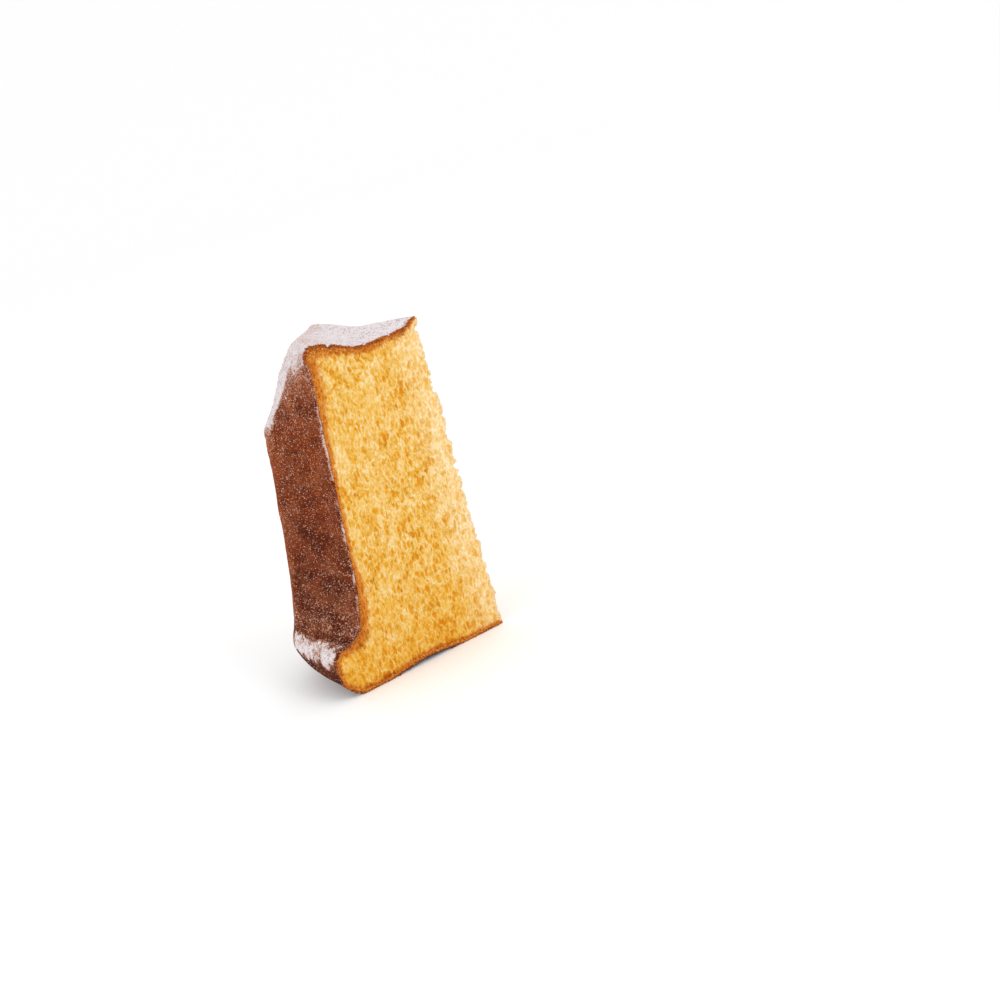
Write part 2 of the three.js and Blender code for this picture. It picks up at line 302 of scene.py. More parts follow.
# %% The side of the slice
RIDGE_ROUNDING = 0.14
VALLEY_FILLET = 1.6
FILLET_START, FILLET_END = 0.78, 1.25
FAR_CORNER_WEAR = 0.07
FAR_CORNER_START = 160.0
LIP_SAG = 1.8
LIP_BULGE = 2.6
LIP_FADE = (24.0, 38.0)


def side_point(along, across):
    """A panel runs straight from the ridge (across 0) to a cut. The ridge is rounded by a
    hyperbola, the valley is filled a little, and the lip sags and bulges between the two. Returns
    how far outwards from the axis, how far across, and the height."""
    cut_radius, cut_height, ridge_radius, ridge_height = outline(along)
    away = np.abs(across)
    full = math.hypot(1, RIDGE_ROUNDING) - RIDGE_ROUNDING
    share = (np.hypot(away, RIDGE_ROUNDING) - RIDGE_ROUNDING) / full
    fill_at_cut = smooth(FILLET_START, FILLET_END, 1.0)
    fill = VALLEY_FILLET * (smooth(FILLET_START, FILLET_END, away) - fill_at_cut * share)

    height = lerp(ridge_height, cut_height, share)
    lobe = np.sin(math.pi * away) * (1 - smooth(*LIP_FADE, height))
    worn = smooth(0, 1, across) * smooth(FAR_CORNER_START, RIM_HEIGHT, height)
    lean = 1 - FAR_CORNER_WEAR * worn
    outwards = lerp(ridge_radius, cut_radius * math.cos(CUT_ANGLE), share)
    outwards = (outwards + fill + LIP_BULGE * lobe) * lean
    sideways = cut_radius * math.sin(CUT_ANGLE) * across * lean
    return outwards, sideways, height - LIP_SAG * lobe


# %% Its top and its base
TOP_DISH_NEAR, TOP_DISH_FAR = 9.8, 5.6
TOP_DISH_RUN = 0.5
TOP_DISH_AT_AXIS = 0.78
TOP_AXIS_REACH = 0.16
BASE_FLAT_OUTER, BASE_FLAT_INNER = 85.0, 74.0
BASE_FOOT_RADIUS = 20.0
BASE_ARCH = 2.6
BASE_LOBE_POWER = 1.35


def top_height(share, across, rim):
    """The top sinks inside its rim by a smooth step, deeper towards the near cut, and rises again
    a little towards the axis."""
    even = (TOP_DISH_NEAR + TOP_DISH_FAR) / 2
    sideways = lerp(TOP_DISH_FAR, TOP_DISH_NEAR, (1 - across) / 2)
    off_axis = smooth(0, TOP_AXIS_REACH, share)
    depth = lerp(even, sideways, off_axis) * lerp(TOP_DISH_AT_AXIS, 1, off_axis)
    return rim - depth * smooth(0, TOP_DISH_RUN, 1 - share)


def base_height(radius, edge_radius, edge_height):
    """The base stands on a flat ring and a small foot. Between them it is a low arch, a squared
    sine, and outside the ring it curls up to the lip by a power."""
    outside = np.clip((radius - BASE_FLAT_OUTER) / (edge_radius - BASE_FLAT_OUTER), 0, None)
    inside = (radius - BASE_FOOT_RADIUS) / (BASE_FLAT_INNER - BASE_FOOT_RADIUS)
    arch = BASE_ARCH * np.sin(math.pi * np.clip(inside, 0, 1)) ** 2
    return arch + edge_height * outside**BASE_LOBE_POWER


# %% The whole slice
CRUST_SWELL = 0.55
SWELL_FADE = (30.0, 60.0)
BANDS = (0.45, 1.3, 9.0)  # share of the swell, waves a panel, height in mm
HOLLOWS = (0.55, 2.2, 24.0)
THIN_EDGE_TEAR = 1.5
TEARS = ((7.0, 0.6, 3, "long tear"), (3.2, 0.4, 7, "short tear"))  # length, share, line, layer
TEAR_REACH = 0.08
TEAR_START = 0.06
BITES = ((1.7, 0.9), (4.3, 2.0))  # length and depth in mm of the bubbles torn open
BITE_WIDTH = 0.62  # of the distance between two bubbles
BITE_REACH = 0.035
BOX_GAP = 0.02


def crust_swell(along, across):
    """How far the crust lies inside its outline: faint bands round the cake, and broad hollows."""
    height = outline(along)[1]
    swell = 1.0
    for (share, per_panel, tall), layer in ((BANDS, "bands"), (HOLLOWS, "hollows")):
        swell = swell + share * waves(across * per_panel, height / tall, LAYER[layer])
    return CRUST_SWELL * swell


def edge_tear(height):
    """How far the torn thin edge wanders: two waves of different lengths, each along one line of
    its layer."""
    tear = 0.0
    for length, share, line, layer in TEARS:
        tear = tear + share * waves(height / length, np.full_like(height, line), LAYER[layer])
    return THIN_EDGE_TEAR * tear


def edge_bites(height):
    """How deep the opened bubbles bite into the thin edge. Each is deepest in its middle, and two
    of them leave a sharp tooth between them."""
    bites = 0.0
    for length, depth in BITES:
        near, _, number = bubbles(height / length, np.full_like(height, length), LAYER["bites"])
        bites = bites + depth * number * (1 - smooth(0, BITE_WIDTH, near))
    return bites


def slice_point(share, across, along):
    """A point of the slice: its side point drawn in to the axis by the share, at a height between
    the base's and the top's. The crust's swell is taken off it, and the thin edge is torn."""
    share, across, along = np.broadcast_arrays(share, across, along)
    outwards, sideways, height = side_point(along, across)
    edge_out, edge_side, edge_height = side_point(np.zeros_like(along), across)
    rim_height = side_point(np.full_like(along, OUTLINE), across)[2]
    up = (height - edge_height) / (rim_height - edge_height)

    edge_radius = np.hypot(edge_out, edge_side)
    low = base_height(share * edge_radius, edge_radius, edge_height)
    high = top_height(share, across, rim_height)
    z = lerp(low, high, up)

    inwards = crust_swell(along, across) * smooth(*SWELL_FADE, height)
    x = AXIS_X - share * (outwards - inwards)
    y = share * sideways
    torn = edge_tear(z) * (1 - smooth(0, TEAR_REACH, share))
    torn = (torn - edge_bites(z) * (1 - smooth(0, BITE_REACH, share))) * smooth(0, TEAR_START, up)
    x = np.minimum(x + torn, slice_high.x / MM - BOX_GAP)
    return np.stack([x, y, z], axis=-1)


corner = slice_point(np.array([1.0]), np.array([0.0]), np.array([station("lip")]))
print("lip of the star point, mm:", corner.round(2).tolist())

# %% [markdown]
# ## From sheets of points to a closed piece
# Each piece is made of sheets: grids of points that share their borders. One helper turns grids
# into triangles, joins the points that fall in the same place, drops the triangles that collapse
# where a sheet runs into the cake's axis, and writes the arrays straight into the mesh. It then
# counts the edges that don't have two triangles: a closed piece has none.

# %% Mesh helpers
MERGE = 0.000137  # points closer than this, in mm, are one


def sheet_triangles(rows, columns):
    """Two triangles for each cell of a grid, with the diagonal turned in every other cell."""
    i, j = np.meshgrid(np.arange(rows - 1), np.arange(columns - 1), indexing="ij")
    a = i * columns + j
    b, c, d = a + columns, a + columns + 1, a + 1
    one_way = np.stack([a, b, c, a, c, d], axis=-1)
    other_way = np.stack([a, b, d, b, c, d], axis=-1)
    even = ((i + j) % 2 == 0)[..., None]
    return np.where(even, one_way, other_way).reshape(-1, 3)


def open_edges(triangles):
    """How many edges don't belong to exactly two triangles."""
    ends = np.concatenate([triangles[:, [0, 1]], triangles[:, [1, 2]], triangles[:, [2, 0]]])
    ends = np.sort(ends, axis=1).astype(np.int64)
    counts = np.unique(ends[:, 0] * (triangles.max() + 1) + ends[:, 1], return_counts=True)[1]
    return int((counts != 2).sum())


def make_piece(name, points, triangles, values):
    """A mesh object from arrays: points in mm, triangles, and named values for its points."""
    mesh = bpy.data.meshes.new(name)
    mesh.vertices.add(len(points))
    mesh.vertices.foreach_set("co", (points * MM).astype(np.float32).ravel())
    mesh.loops.add(triangles.size)
    mesh.loops.foreach_set("vertex_index", triangles.astype(np.int32).ravel())
    mesh.polygons.add(len(triangles))
    mesh.polygons.foreach_set("loop_start", np.arange(0, triangles.size, 3, dtype=np.int32))
    mesh.update(calc_edges=True)
    mesh.shade_smooth()
    for key, value in values.items():
        attribute = mesh.attributes.new(key, "FLOAT", "POINT")
        attribute.data.foreach_set("value", value.astype(np.float32).ravel())
    piece = bpy.data.objects.new(name, mesh)
    bpy.context.scene.collection.objects.link(piece)
    corners = points[triangles]
    volume = np.einsum("ij,ij->i", corners[:, 0], np.cross(corners[:, 1], corners[:, 2])).sum() / 6
    edges = open_edges(triangles)
    print(f"{name}: {len(triangles)} triangles, {volume / 1000:.1f} ml, {edges} open edges")
    return piece


def closed_piece(name, sheets):
    """Joins sheets, each (points[rows, columns, 3], {name: values[rows, columns]}), into one."""
    grids = [points for points, _ in sheets]
    starts = np.cumsum([0] + [grid.shape[0] * grid.shape[1] for grid in grids])
    corners = [sheet_triangles(*grid.shape[:2]) + start for grid, start in zip(grids, starts)]
    corners = np.concatenate(corners)
    points = np.concatenate([grid.reshape(-1, 3) for grid in grids])
    places = np.round(points / MERGE).astype(np.int64)
    _, first, same = np.unique(places, axis=0, return_index=True, return_inverse=True)
    corners = same.reshape(-1)[corners]
    a, b, c = corners.T
    corners = corners[(a != b) & (b != c) & (c != a)]
    values = {}
    for key in sheets[0][1]:
        parts = [np.broadcast_to(named[key], grid.shape[:2]).ravel() for grid, named in sheets]
        values[key] = np.concatenate(parts)[first]
    return make_piece(name, points[first], corners, values)


def grid_normals(points):
    """Unit normals of a grid of points, from the differences between its neighbours."""
    down, along = np.gradient(points, axis=0), np.gradient(points, axis=1)
    normals = np.cross(down, along)
    size = np.linalg.norm(normals, axis=-1, keepdims=True)
    return normals / np.maximum(size, 1e-9)


# %% [markdown]
# ## Round the cut
# A cut shows how the cake was baked: how thick its crust is, how deep the crumb under it is
# browned, and how dark the crust's edge came out. All three change along the way round, so one
# table gives them at named places and everything in between follows a straight line.
#
# Places on the way round are counted as a path: along the base from the axis (0 to 1), up the side
# (1 to 2), and along the top back to the axis (2 to 3).

# %% The way round the cut
# Thickness of the crust and depth of the browning in mm, and how dark the crust's edge is.
ROUND_THE_CUT = {
    0.0: (1.0, 1.6, 0.8),
    1.0: (1.4, 2.0, 0.8),
    station_path("lip"): (1.0, 1.8, 0.6),
    station_path("outside of the ledge"): (1.0, 2.4, 0.5),
    station_path("inside of the ledge"): (2.1, 4.6, 0.5),
    station_path("low on the panel"): (1.7, 3.4, 0.45),
    station_path("lower panel"): (0.8, 1.7, 0.35),
    station_path("middle of the panel"): (0.7, 1.5, 0.3),
    station_path("upper panel"): (0.8, 2.2, 0.35),
    station_path("below the shoulder"): (1.5, 4.6, 0.6),
    station_path("below the rim"): (3.0, 5.0, 0.9),
    2.05: (2.6, 4.4, 1.0),
    2.2: (1.4, 2.6, 0.8),
    2.82: (1.0, 1.9, 0.6),
    2.94: (0.6, 1.0, 0.7),
    3.0: (0.3, 0.5, 0.5),
}


def round_the_cut(path, column):
    """One column of the table, in straight lines between its places."""
    return np.interp(path, list(ROUND_THE_CUT), [row[column] for row in ROUND_THE_CUT.values()])


def path_length(path):
    """Millimetres walked on the cut, near enough: base, side and top."""
    return np.interp(path, (0, 1, 2, 3), np.cumsum([0, stations[0, 0], OUTLINE, stations[-1, 0]]))


def path_share(path):
    """Share of the way out from the axis, at a place on the path."""
    return np.clip(np.minimum(path, 3 - path), 0, 1)


def path_along(path):
    """Distance along the outline, at a place on the path."""
    return OUTLINE * np.clip(path - 1, 0, 1)


def cut_margin(path, across):
    """Millimetres from the nearer cut."""
    half_width = path_share(path) * outline(path_along(path))[0] * math.sin(CUT_ANGLE)
    return half_width * (1 - np.abs(across))


print("way round the cut, mm:", path_length(np.array([3.0])).round(1))

# %% [markdown]
# ## Where the sugar lies
# Sugar is sieved from above, so it lies thick on the top and on the shoulder that slopes down from
# it, and again on the lip round the foot. The steep brown panels hold only specks: many just under
# the shoulder, where sugar trickled down, more again low down, and a broken white line along each
# cut, where the valley caught it. One function says how much sugar lies at each place. The crust's
# colour, the sheets of sugar and the loose grains all read it.

# %% The sugar on the shoulder, the panels and the ledge
SHOULDER_CLIMB = (0.2, 0.48)  # shares of a panel between which the thick sugar's edge climbs
SHOULDER_FADE = (-5.0, 5.0)  # mm above and below that edge in which the sheet ends
SHOULDER_SQUEEZE = 0.42  # real length of a step along the outline near the cut
SQUEEZE_REACH = (0.2, 0.6)  # shares of a panel between which the steps shorten
EDGE_WANDER = 1.6
TRICKLE, TRICKLE_LENGTH = 0.66, 14.0
PANEL_DUST, PATCH_DUST, LOW_DUST = 0.2, 0.09, 0.12  # everywhere, in patches, and low down
VALLEY_LINE = (0.2, 1.0)  # mm from the cut: all of the line, and none of it
VALLEY_RAGGED = 0.4  # mm to and fro
VALLEY_DUST, VALLEY_GAPS = 0.52, (-1.0, 0.4)
LEDGE_RISE, LEDGE_FALL = (8.0, 16.0), (18.5, 29.5)  # distances along the outline
LEDGE_COVER, LEDGE_CLOTS = 0.68, 0.3
LEDGE_STREAKS = (1.3, 1.8)  # mm to and fro: the broad ones and the fine ones
LEDGE_ON_RIDGE, LEDGE_FULL = 0.6, (0, 0.24)  # share left on the ridge, and where it is all there
LEDGE_MARGIN = (0.5, 2.4)  # mm from the cut: none of it, and all of it


def shoulder_cover(along, across):
    """Full above an edge that climbs from the ridge to the cut, and below it a trickle that thins
    out exponentially."""
    away = np.abs(across)
    edge = lerp(station("shoulder"), station("below the rim") - 2, smooth(*SHOULDER_CLIMB, away))
    below = (edge - along) * lerp(1, SHOULDER_SQUEEZE, smooth(*SQUEEZE_REACH, away))
    below = below + EDGE_WANDER * waves(across * 9, along / 5, LAYER["sugar edge"])
    trickle = TRICKLE * np.exp(-np.clip(below, 0, None) / TRICKLE_LENGTH)
    return np.maximum(1 - smooth(*SHOULDER_FADE, below), trickle)


def panel_cover(along, across, margin):
    """Thin dust in patches, more of it low down, and a line with gaps along the cut."""
    patches = waves(across * 3, along / 15, LAYER["dust"])
    low_down = 1 - smooth(station("foot of the panel"), station("lower panel"), along)
    ragged = VALLEY_RAGGED * waves(along / 2.5, across * 3, LAYER["margin"])
    line = 1 - smooth(*VALLEY_LINE, margin + ragged)
    gaps = waves(along / 5, across * 2, LAYER["margin"] + 3)
    gaps = gaps + 0.8 * waves(along / 1.6, across * 2, LAYER["margin"] + 4)
    panel = PANEL_DUST + PATCH_DUST * patches + LOW_DUST * low_down
    panel = panel + VALLEY_DUST * line * smooth(*VALLEY_GAPS, gaps)
    return panel * smooth(station("outside of the ledge"), station("inside of the ledge"), along)


def ledge_cover(along, across, margin):
    """A band between the ledge's rise and fall, streaked and clotted by waves, thinner on the ridge
    and ending before the cut."""
    streaks = LEDGE_STREAKS[0] * waves(across * 12, along / 6, LAYER["streaks"])
    streaks = streaks + LEDGE_STREAKS[1] * waves(across * 30, along / 3, LAYER["streaks"] + 1)
    clots = 1 + LEDGE_CLOTS * waves(across * 18, along / 2.0, LAYER["streaks"] + 2)
    ledge = smooth(*LEDGE_RISE, along + streaks) * (1 - smooth(*LEDGE_FALL, along + streaks / 3))
    off_ridge = lerp(LEDGE_ON_RIDGE, 1, smooth(*LEDGE_FULL, np.abs(across)))
    return LEDGE_COVER * clots * ledge * off_ridge * smooth(*LEDGE_MARGIN, margin)


# %% The sugar's cover
FAINT_DUST = 0.05
BARE_MARGIN = (0.0, 1.3)  # mm from the cut where the top's sugar has crumbled off
BARE_RAGGED = 0.55  # mm to and fro, for each of two sizes of waves
BARE_START = (0, 0.1)  # shares of the way out over which the margin becomes ragged
FAR_MARGIN = 0.9  # mm less of that at the far cut


def left_on_top(path, across, margin):
    """The share of the top's sugar that hasn't crumbled off along the cuts; 1 on the side."""
    walked = path_length(path)
    ragged = waves(walked / 2.1, across * 9, LAYER["margin"] + 1)
    ragged = ragged + waves(walked / 0.8, across * 30, LAYER["margin"] + 2)
    ragged = BARE_RAGGED * ragged + FAR_MARGIN * (across > 0)
    ragged = ragged * smooth(*BARE_START, path_share(path))
    on_top = smooth(station_path("middle of the shoulder slope"), station_path("rim"), path)
    return lerp(1, smooth(*BARE_MARGIN, margin + ragged), on_top)


def sugar_cover(path, across):
    """How much of the crust the sugar covers, from 0 to 1: the largest of the shoulder's, the
    panel's and the ledge's shares and a faint dust, less what has crumbled off."""
    along, margin = path_along(path), cut_margin(path, across)
    faint = FAINT_DUST * smooth(0, station("lip"), along) * (path > 1)
    parts = [
        shoulder_cover(along, across),
        panel_cover(along, across, margin),
        ledge_cover(along, across, margin),
        faint,
    ]
    return np.clip(np.max(parts, axis=0) * left_on_top(path, across, margin), 0, 1)


# %% The crust's skin
SKIN_INSET, RIM_INSET, BASE_INSET = 0.3, 0.6, 0.04  # room for the sugar, inside the solid
BASE_END = (0.96, 1.02)  # places on the path where the base's small inset ends
RIM_RISE, RIM_FALL = (station_path("above the shoulder"), station_path("rim")), (2.05, 2.3)
CUT_TURN = (0.75, 1.0)  # shares of a panel over which the directions turn into the cut
SKIN_RELIEF = 0.12
DENTS = ((0.6, 7, 3.1), (0.4, 22, 1.9))  # share, waves a panel, length in mm
AXIS_FADE = (0, 0.12)  # shares of the way out over which dents and thickness become uneven
BROKEN_EDGE, BROKEN_TOP = 0.3, 1.0  # mm on the side and on the top
BROKEN_LENGTHS, BROKEN_LINE = (2.6, 1.1), 5  # each cut has its own line of the layer
BROKEN_REACH, BROKEN_START = (0.95, 1), (0, 0.05)  # shares of a panel, and of the way out
RIDGE_WEAR = (  # places on the path where each stretch starts and ends, and its depth in mm
    (station_path("shoulder"), station_path("middle of the shoulder slope") + 0.015, 1.3),
    (station_path("middle of the shoulder slope"), 2.12, 0.6),
)
RIDGE_WEAR_REACH = (0.25, 0.9)  # shares of a panel


def skin_point(path, across):
    """The crust's outside before its own relief: the slice's surface along the path."""
    return slice_point(path_share(path), across, path_along(path))


def skin_relief(path, across):
    """Small dents of the crust, in mm inwards: two waves, one of them long across the panel. They
    die out at the axis, where the whole width of the crust runs into one point."""
    walked, dents = path_length(path), 0.0
    for k, (share, per_panel, length) in enumerate(DENTS):
        dents = dents + share * waves(across * per_panel, walked / length, LAYER["dents"] + k)
    return SKIN_RELIEF * (1 + dents * smooth(*AXIS_FADE, path_share(path)))


def broken_edge(path, across):
    """How far the crust has crumbled away at a cut, in mm: two sizes of waves along its length."""
    walked, line = path_length(path), BROKEN_LINE * np.sign(across)
    crumbled = 1.0
    for k, length in enumerate(BROKEN_LENGTHS):
        crumbled = crumbled + 0.5 * waves(walked / length, line, LAYER["broken edge"] + k)
    most = lerp(BROKEN_EDGE, BROKEN_TOP, smooth(station_path("below the rim"), 2.0, path))
    at_cut = smooth(*BROKEN_REACH, np.abs(across))
    return most * crumbled * at_cut * smooth(*BROKEN_START, path_share(path))


def worn_ridge(path, across):
    """How far the ridge is worn down on its slope and at its corner, in mm: half a sine wave along
    each, fading across the panels."""
    worn = 0.0
    for start, end, deep in RIDGE_WEAR:
        worn = worn + deep * np.sin(math.pi * np.clip((path - start) / (end - start), 0, 1))
    return worn * (1 - smooth(*RIDGE_WEAR_REACH, np.abs(across)))


def inwards_direction(points, across):
    """Unit directions from the crust's outside into the cake. At a cut they are turned into the
    plane of the cut, so that the crust's edge lies flat in it."""
    normals = grid_normals(points)
    pinched = np.linalg.norm(normals, axis=-1) < 0.5  # at the axis, where a row is one point
    half = len(points) // 2
    normals[:half][pinched[:half]] = (0.0, 0.0, -1.0)
    normals[half:][pinched[half:]] = (0.0, 0.0, 1.0)
    cut = np.stack([
        np.full(across.shape, math.sin(CUT_ANGLE)),
        np.sign(across) * math.cos(CUT_ANGLE),
        np.zeros(across.shape),
    ], axis=-1)
    weight = smooth(*CUT_TURN, np.abs(across))[..., None]
    normals = normals - weight * (normals * cut).sum(axis=-1, keepdims=True) * cut
    return -normals / np.linalg.norm(normals, axis=-1, keepdims=True)


def crust_surface(path, across):
    """The crust's outside on a grid of path and across, and the directions inwards."""
    points = skin_point(path, across)
    inwards = inwards_direction(points, across)
    on_base = 1 - smooth(*BASE_END, path)
    on_rim = smooth(*RIM_RISE, path) * (1 - smooth(*RIM_FALL, path))
    inset = lerp(SKIN_INSET, RIM_INSET, on_rim)
    inset = inset + skin_relief(path, across) + worn_ridge(path, across)
    inset = lerp(inset, BASE_INSET, on_base) + broken_edge(path, across)
    return points + inwards * inset[..., None], inwards


# %% [markdown]
# ## The crust
# The crust isn't a separate skin on the real cake, but it looks like one: a millimetre of dark
# brown that ends in a crumbly line at each cut. Here it is one closed shell that wraps the base,
# the side and the top. For each step along the path it has one loop of points: over the outside
# from cut to cut, through the thickness, and back along the inside, which nobody sees and which
# needs only a few points. The loops shut by themselves where the base and top reach the axis.

# %% The crust's mesh
CRUST_COLUMNS = 121
BASE_STEPS, SIDE_STEPS, TOP_STEPS = 100, 330, 140
HIDDEN_ACROSS = np.array([-1, -0.85, -0.6, -0.35, -0.15, 0, 0.15, 0.35, 0.6, 0.85, 1])
RIM_STEPS = (0.33, 0.66, 0.95)  # lines across the crust's edge, from its inside out
# Painted light: the crust on the ridge is painted lighter, out to these shares of a panel
RIDGE_LIGHT_REACH = (0.04, 0.22)  # shares of a panel over which the ridge's paler crust ends
WORN_EDGE, WORN_MARGIN = 0.25, (0.3, 1.5)  # the top's worn skin, and mm from the cut where it ends
THICKNESS_WAVES = ((0.24, 3.1, 2), (0.2, 1.2, 5))  # share, length in mm, waves a panel
TABLE_REACH = (0.8, 1)  # shares of a panel over which the table takes over


def few_columns(across):
    """For each place across, the column that is nearest of the few that a hidden surface has."""
    return np.abs(across[:, None] - HIDDEN_ACROSS).argmin(axis=-1)


def crust_thickness(path, across):
    """In mm: what the table says at a cut, 1 away from the cuts, and two sizes of waves in it."""
    walked, uneven = path_length(path), 0.0
    for k, (share, length, per_panel) in enumerate(THICKNESS_WAVES):
        layer = LAYER["thickness"] + k
        uneven = uneven + share * waves(walked / length, across * per_panel, layer)
    uneven = 1 + uneven * smooth(*AXIS_FADE, path_share(path))
    return uneven * lerp(1.0, round_the_cut(path, 0), smooth(*TABLE_REACH, np.abs(across)))


def skin_path(base_steps, side_steps, top_steps):
    """Steps along the path: base, side and top."""
    return np.concatenate([
        np.linspace(0, 1, base_steps, endpoint=False),
        1 + even_rows(side_steps)[:-1] / OUTLINE,
        2 + np.linspace(0, 1, top_steps),
    ])


def make_crust():
    """Returns the piece, and the lines along which its skin meets the two cuts."""
    steps = skin_path(BASE_STEPS, SIDE_STEPS, TOP_STEPS)
    path, across = np.meshgrid(steps, np.linspace(-1, 1, CRUST_COLUMNS), indexing="ij")
    outside, inwards = crust_surface(path, across)
    path_few, across_few = np.meshgrid(steps, HIDDEN_ACROSS, indexing="ij")
    few, few_inwards = crust_surface(path_few, across_few)
    few = few + few_inwards * crust_thickness(path_few, across_few)[..., None]
    thickness = crust_thickness(path, across)
    for edge in (0, -1):
        few[:, edge] = outside[:, edge] + inwards[:, edge] * thickness[:, edge, None]
    inside = few[:, few_columns(across[0])]

    rim = [lerp(inside, outside, step) for step in RIM_STEPS]
    points = [inside[:, :1], *[line[:, :1] for line in rim], outside]
    points += [*[line[:, -1:] for line in rim[::-1]], inside[:, ::-1]]
    one = np.ones((len(steps), 1))
    under_rim = [(1 - step) * one for step in RIM_STEPS]
    wide = np.ones((len(steps), CRUST_COLUMNS))
    worn = WORN_EDGE * (1 - smooth(*WORN_MARGIN, cut_margin(path, across)))
    worn = worn * smooth(station_path("below the rim"), 2.0, path)
    ridge_light = 1 - smooth(*RIDGE_LIGHT_REACH, np.abs(across))
    # Of the loop's columns, only the outside's have sugar and the ridge's painted light: the
    # others get zeros.
    others = ((0, 0), (1 + len(RIM_STEPS), len(RIM_STEPS) + CRUST_COLUMNS))
    values = {
        "under": np.concatenate([one, *under_rim, worn, *under_rim[::-1], wide], axis=1),
        "sugar": np.pad(sugar_cover(path, across), others),
        "baked": round_the_cut(steps, 2)[:, None],
        "ridge_light": np.pad(ridge_light, others),
    }
    piece = closed_piece("crust", [(np.concatenate(points, axis=1), values)])
    lines = {-1: (outside[:, 0], inwards[:, 0]), 1: (outside[:, -1], inwards[:, -1])}
    return piece, steps, lines


crust, cut_steps, cut_lines = make_crust()

# %% [markdown]
# ## The crumb
# Inside, pandoro is soft, yellow and full of small bubbles that the rising dough pulled upwards. A
# knife opens them: each cut is a net of pale walls round deeper, more golden pores. One could
# paint that on flat cuts, but light from the side would show the trick. So the two cuts are fine
# grids pushed in where a bubble lies open: a few large bubbles, many small ones between them, and
# slow waves that leave some places denser. How open each point is goes along as a value, and the
# material colours it by that.

# %% The relief of a cut
BUBBLE_SIZE, BUBBLE_DEPTH = (2.9, 4.8), 0.7  # across and upwards, and how deep
SMALL_BUBBLE_SIZE, SMALL_BUBBLE_DEPTH = (1.6, 2.3), 0.42
OPEN_BY_LARGE, OPEN_BY_SMALL = 0.6, 0.5
BEND_FINER, BEND_LESS = 2.6, 0.4  # the second waves against the first
AIRY, AIRY_SWING, AIRY_SIZE = 0.8, 0.4, (9, 13)
CUT_WAVES, CUT_WAVE_SIZE = 0.5, (17, 26)
LEAST_DEPTH = 0.12


def bent(first, second, reach, length, layer):
    """How far a coordinate is moved, by two sizes of waves, so that rows of cells don't show."""
    slow = waves(first / length, second / length, layer)
    quick = waves(first / length * BEND_FINER, second / length * BEND_FINER, layer + 1)
    return reach * slow + BEND_LESS * reach * quick


def cut_relief(radius, height, layer):
    """How deep a cut lies behind its plane, and how open it is from 0 to 1: bubbles of two sizes,
    measured from the walls between them. Only the larger numbers among them lie well open."""
    a = radius + bent(radius, height, 1.5, 4.1, layer)
    b = height + bent(radius, height, 2.0, 5.6, layer + 2)
    near, second, number = bubbles(a / BUBBLE_SIZE[0], b / BUBBLE_SIZE[1], layer + 4)
    large = smooth(0.03, 0.4, second - near) * smooth(0.3, 1, number)
    near, second, number = bubbles(a / SMALL_BUBBLE_SIZE[0], b / SMALL_BUBBLE_SIZE[1], layer + 8)
    small = smooth(0.02, 0.45, second - near) * number
    airy = waves(radius / AIRY_SIZE[0], height / AIRY_SIZE[1], layer + 12)
    airy = AIRY + AIRY_SWING * airy
    depth = airy * (BUBBLE_DEPTH * large + SMALL_BUBBLE_DEPTH * small)
    slow = waves(radius / CUT_WAVE_SIZE[0], height / CUT_WAVE_SIZE[1], layer + 13)
    openness = airy * (OPEN_BY_LARGE * large + OPEN_BY_SMALL * small)
    return LEAST_DEPTH + depth + CUT_WAVES * (0.5 + 0.5 * slow), np.clip(openness, 0, 1)


# %% The crumb's border under the crust
CRUMB_ROWS = 300
CRUMB_COLUMNS = 146
COLUMN_CROWDING = 0.94
UNDER_CRUST = 0.6  # share of the crust's thickness at which the crumb ends

rows = even_rows(CRUMB_ROWS)
shares = np.linspace(0, 1, CRUMB_COLUMNS) ** COLUMN_CROWDING
crumb_path = np.concatenate([shares[:-1], 1 + rows / OUTLINE, 3 - shares[-2::-1]])


def crumb_border():
    """The crumb's outside, hidden under the crust, as a grid of path and across."""
    path, across = np.meshgrid(crumb_path, HIDDEN_ACROSS, indexing="ij")
    skin, inwards = crust_surface(path, across)
    return skin + inwards * (UNDER_CRUST * crust_thickness(path, across))[..., None]


border = crumb_border()
base_part = border[:CRUMB_COLUMNS]
side_part = border[CRUMB_COLUMNS - 1:-CRUMB_COLUMNS + 1]
top_part = border[-CRUMB_COLUMNS:][::-1]
print("border of the crumb:", border.shape, "side:", side_part.shape)

# %% Where the crumb is browned
BROWNING_POWER = 1.5


def browning(radius, height, border):
    """From 1 at the crust to 0 inside. Each point of the border fades with the distance, in its
    own depth from the table, and the strongest one counts."""
    depth = round_the_cut(crumb_path, 1)
    border_radius = np.hypot(AXIS_X - border[:, 0], border[:, 1])
    strongest = np.zeros(radius.shape)
    for row in range(radius.shape[0]):
        gap = np.hypot(radius[row][:, None] - border_radius, height[row][:, None] - border[:, 2])
        strongest[row] = np.exp(-((gap / depth) ** BROWNING_POWER)).max(axis=1)
    return strongest


# %% The crumb's mesh
SIDE_BLEND, BASE_BLEND, TOP_BLEND = (0.88, 1), (0, 0.05), (0.95, 1)  # shares where offsets fade
CALM = (0.5, 0.9)  # how browned the crumb is where the relief dies down
MOST_DEPTH = 0.5  # of the way to the slice's middle
HIDDEN_VALUES = {"pore": 0.0, "browned": 1.0, "from_axis": 50.0}


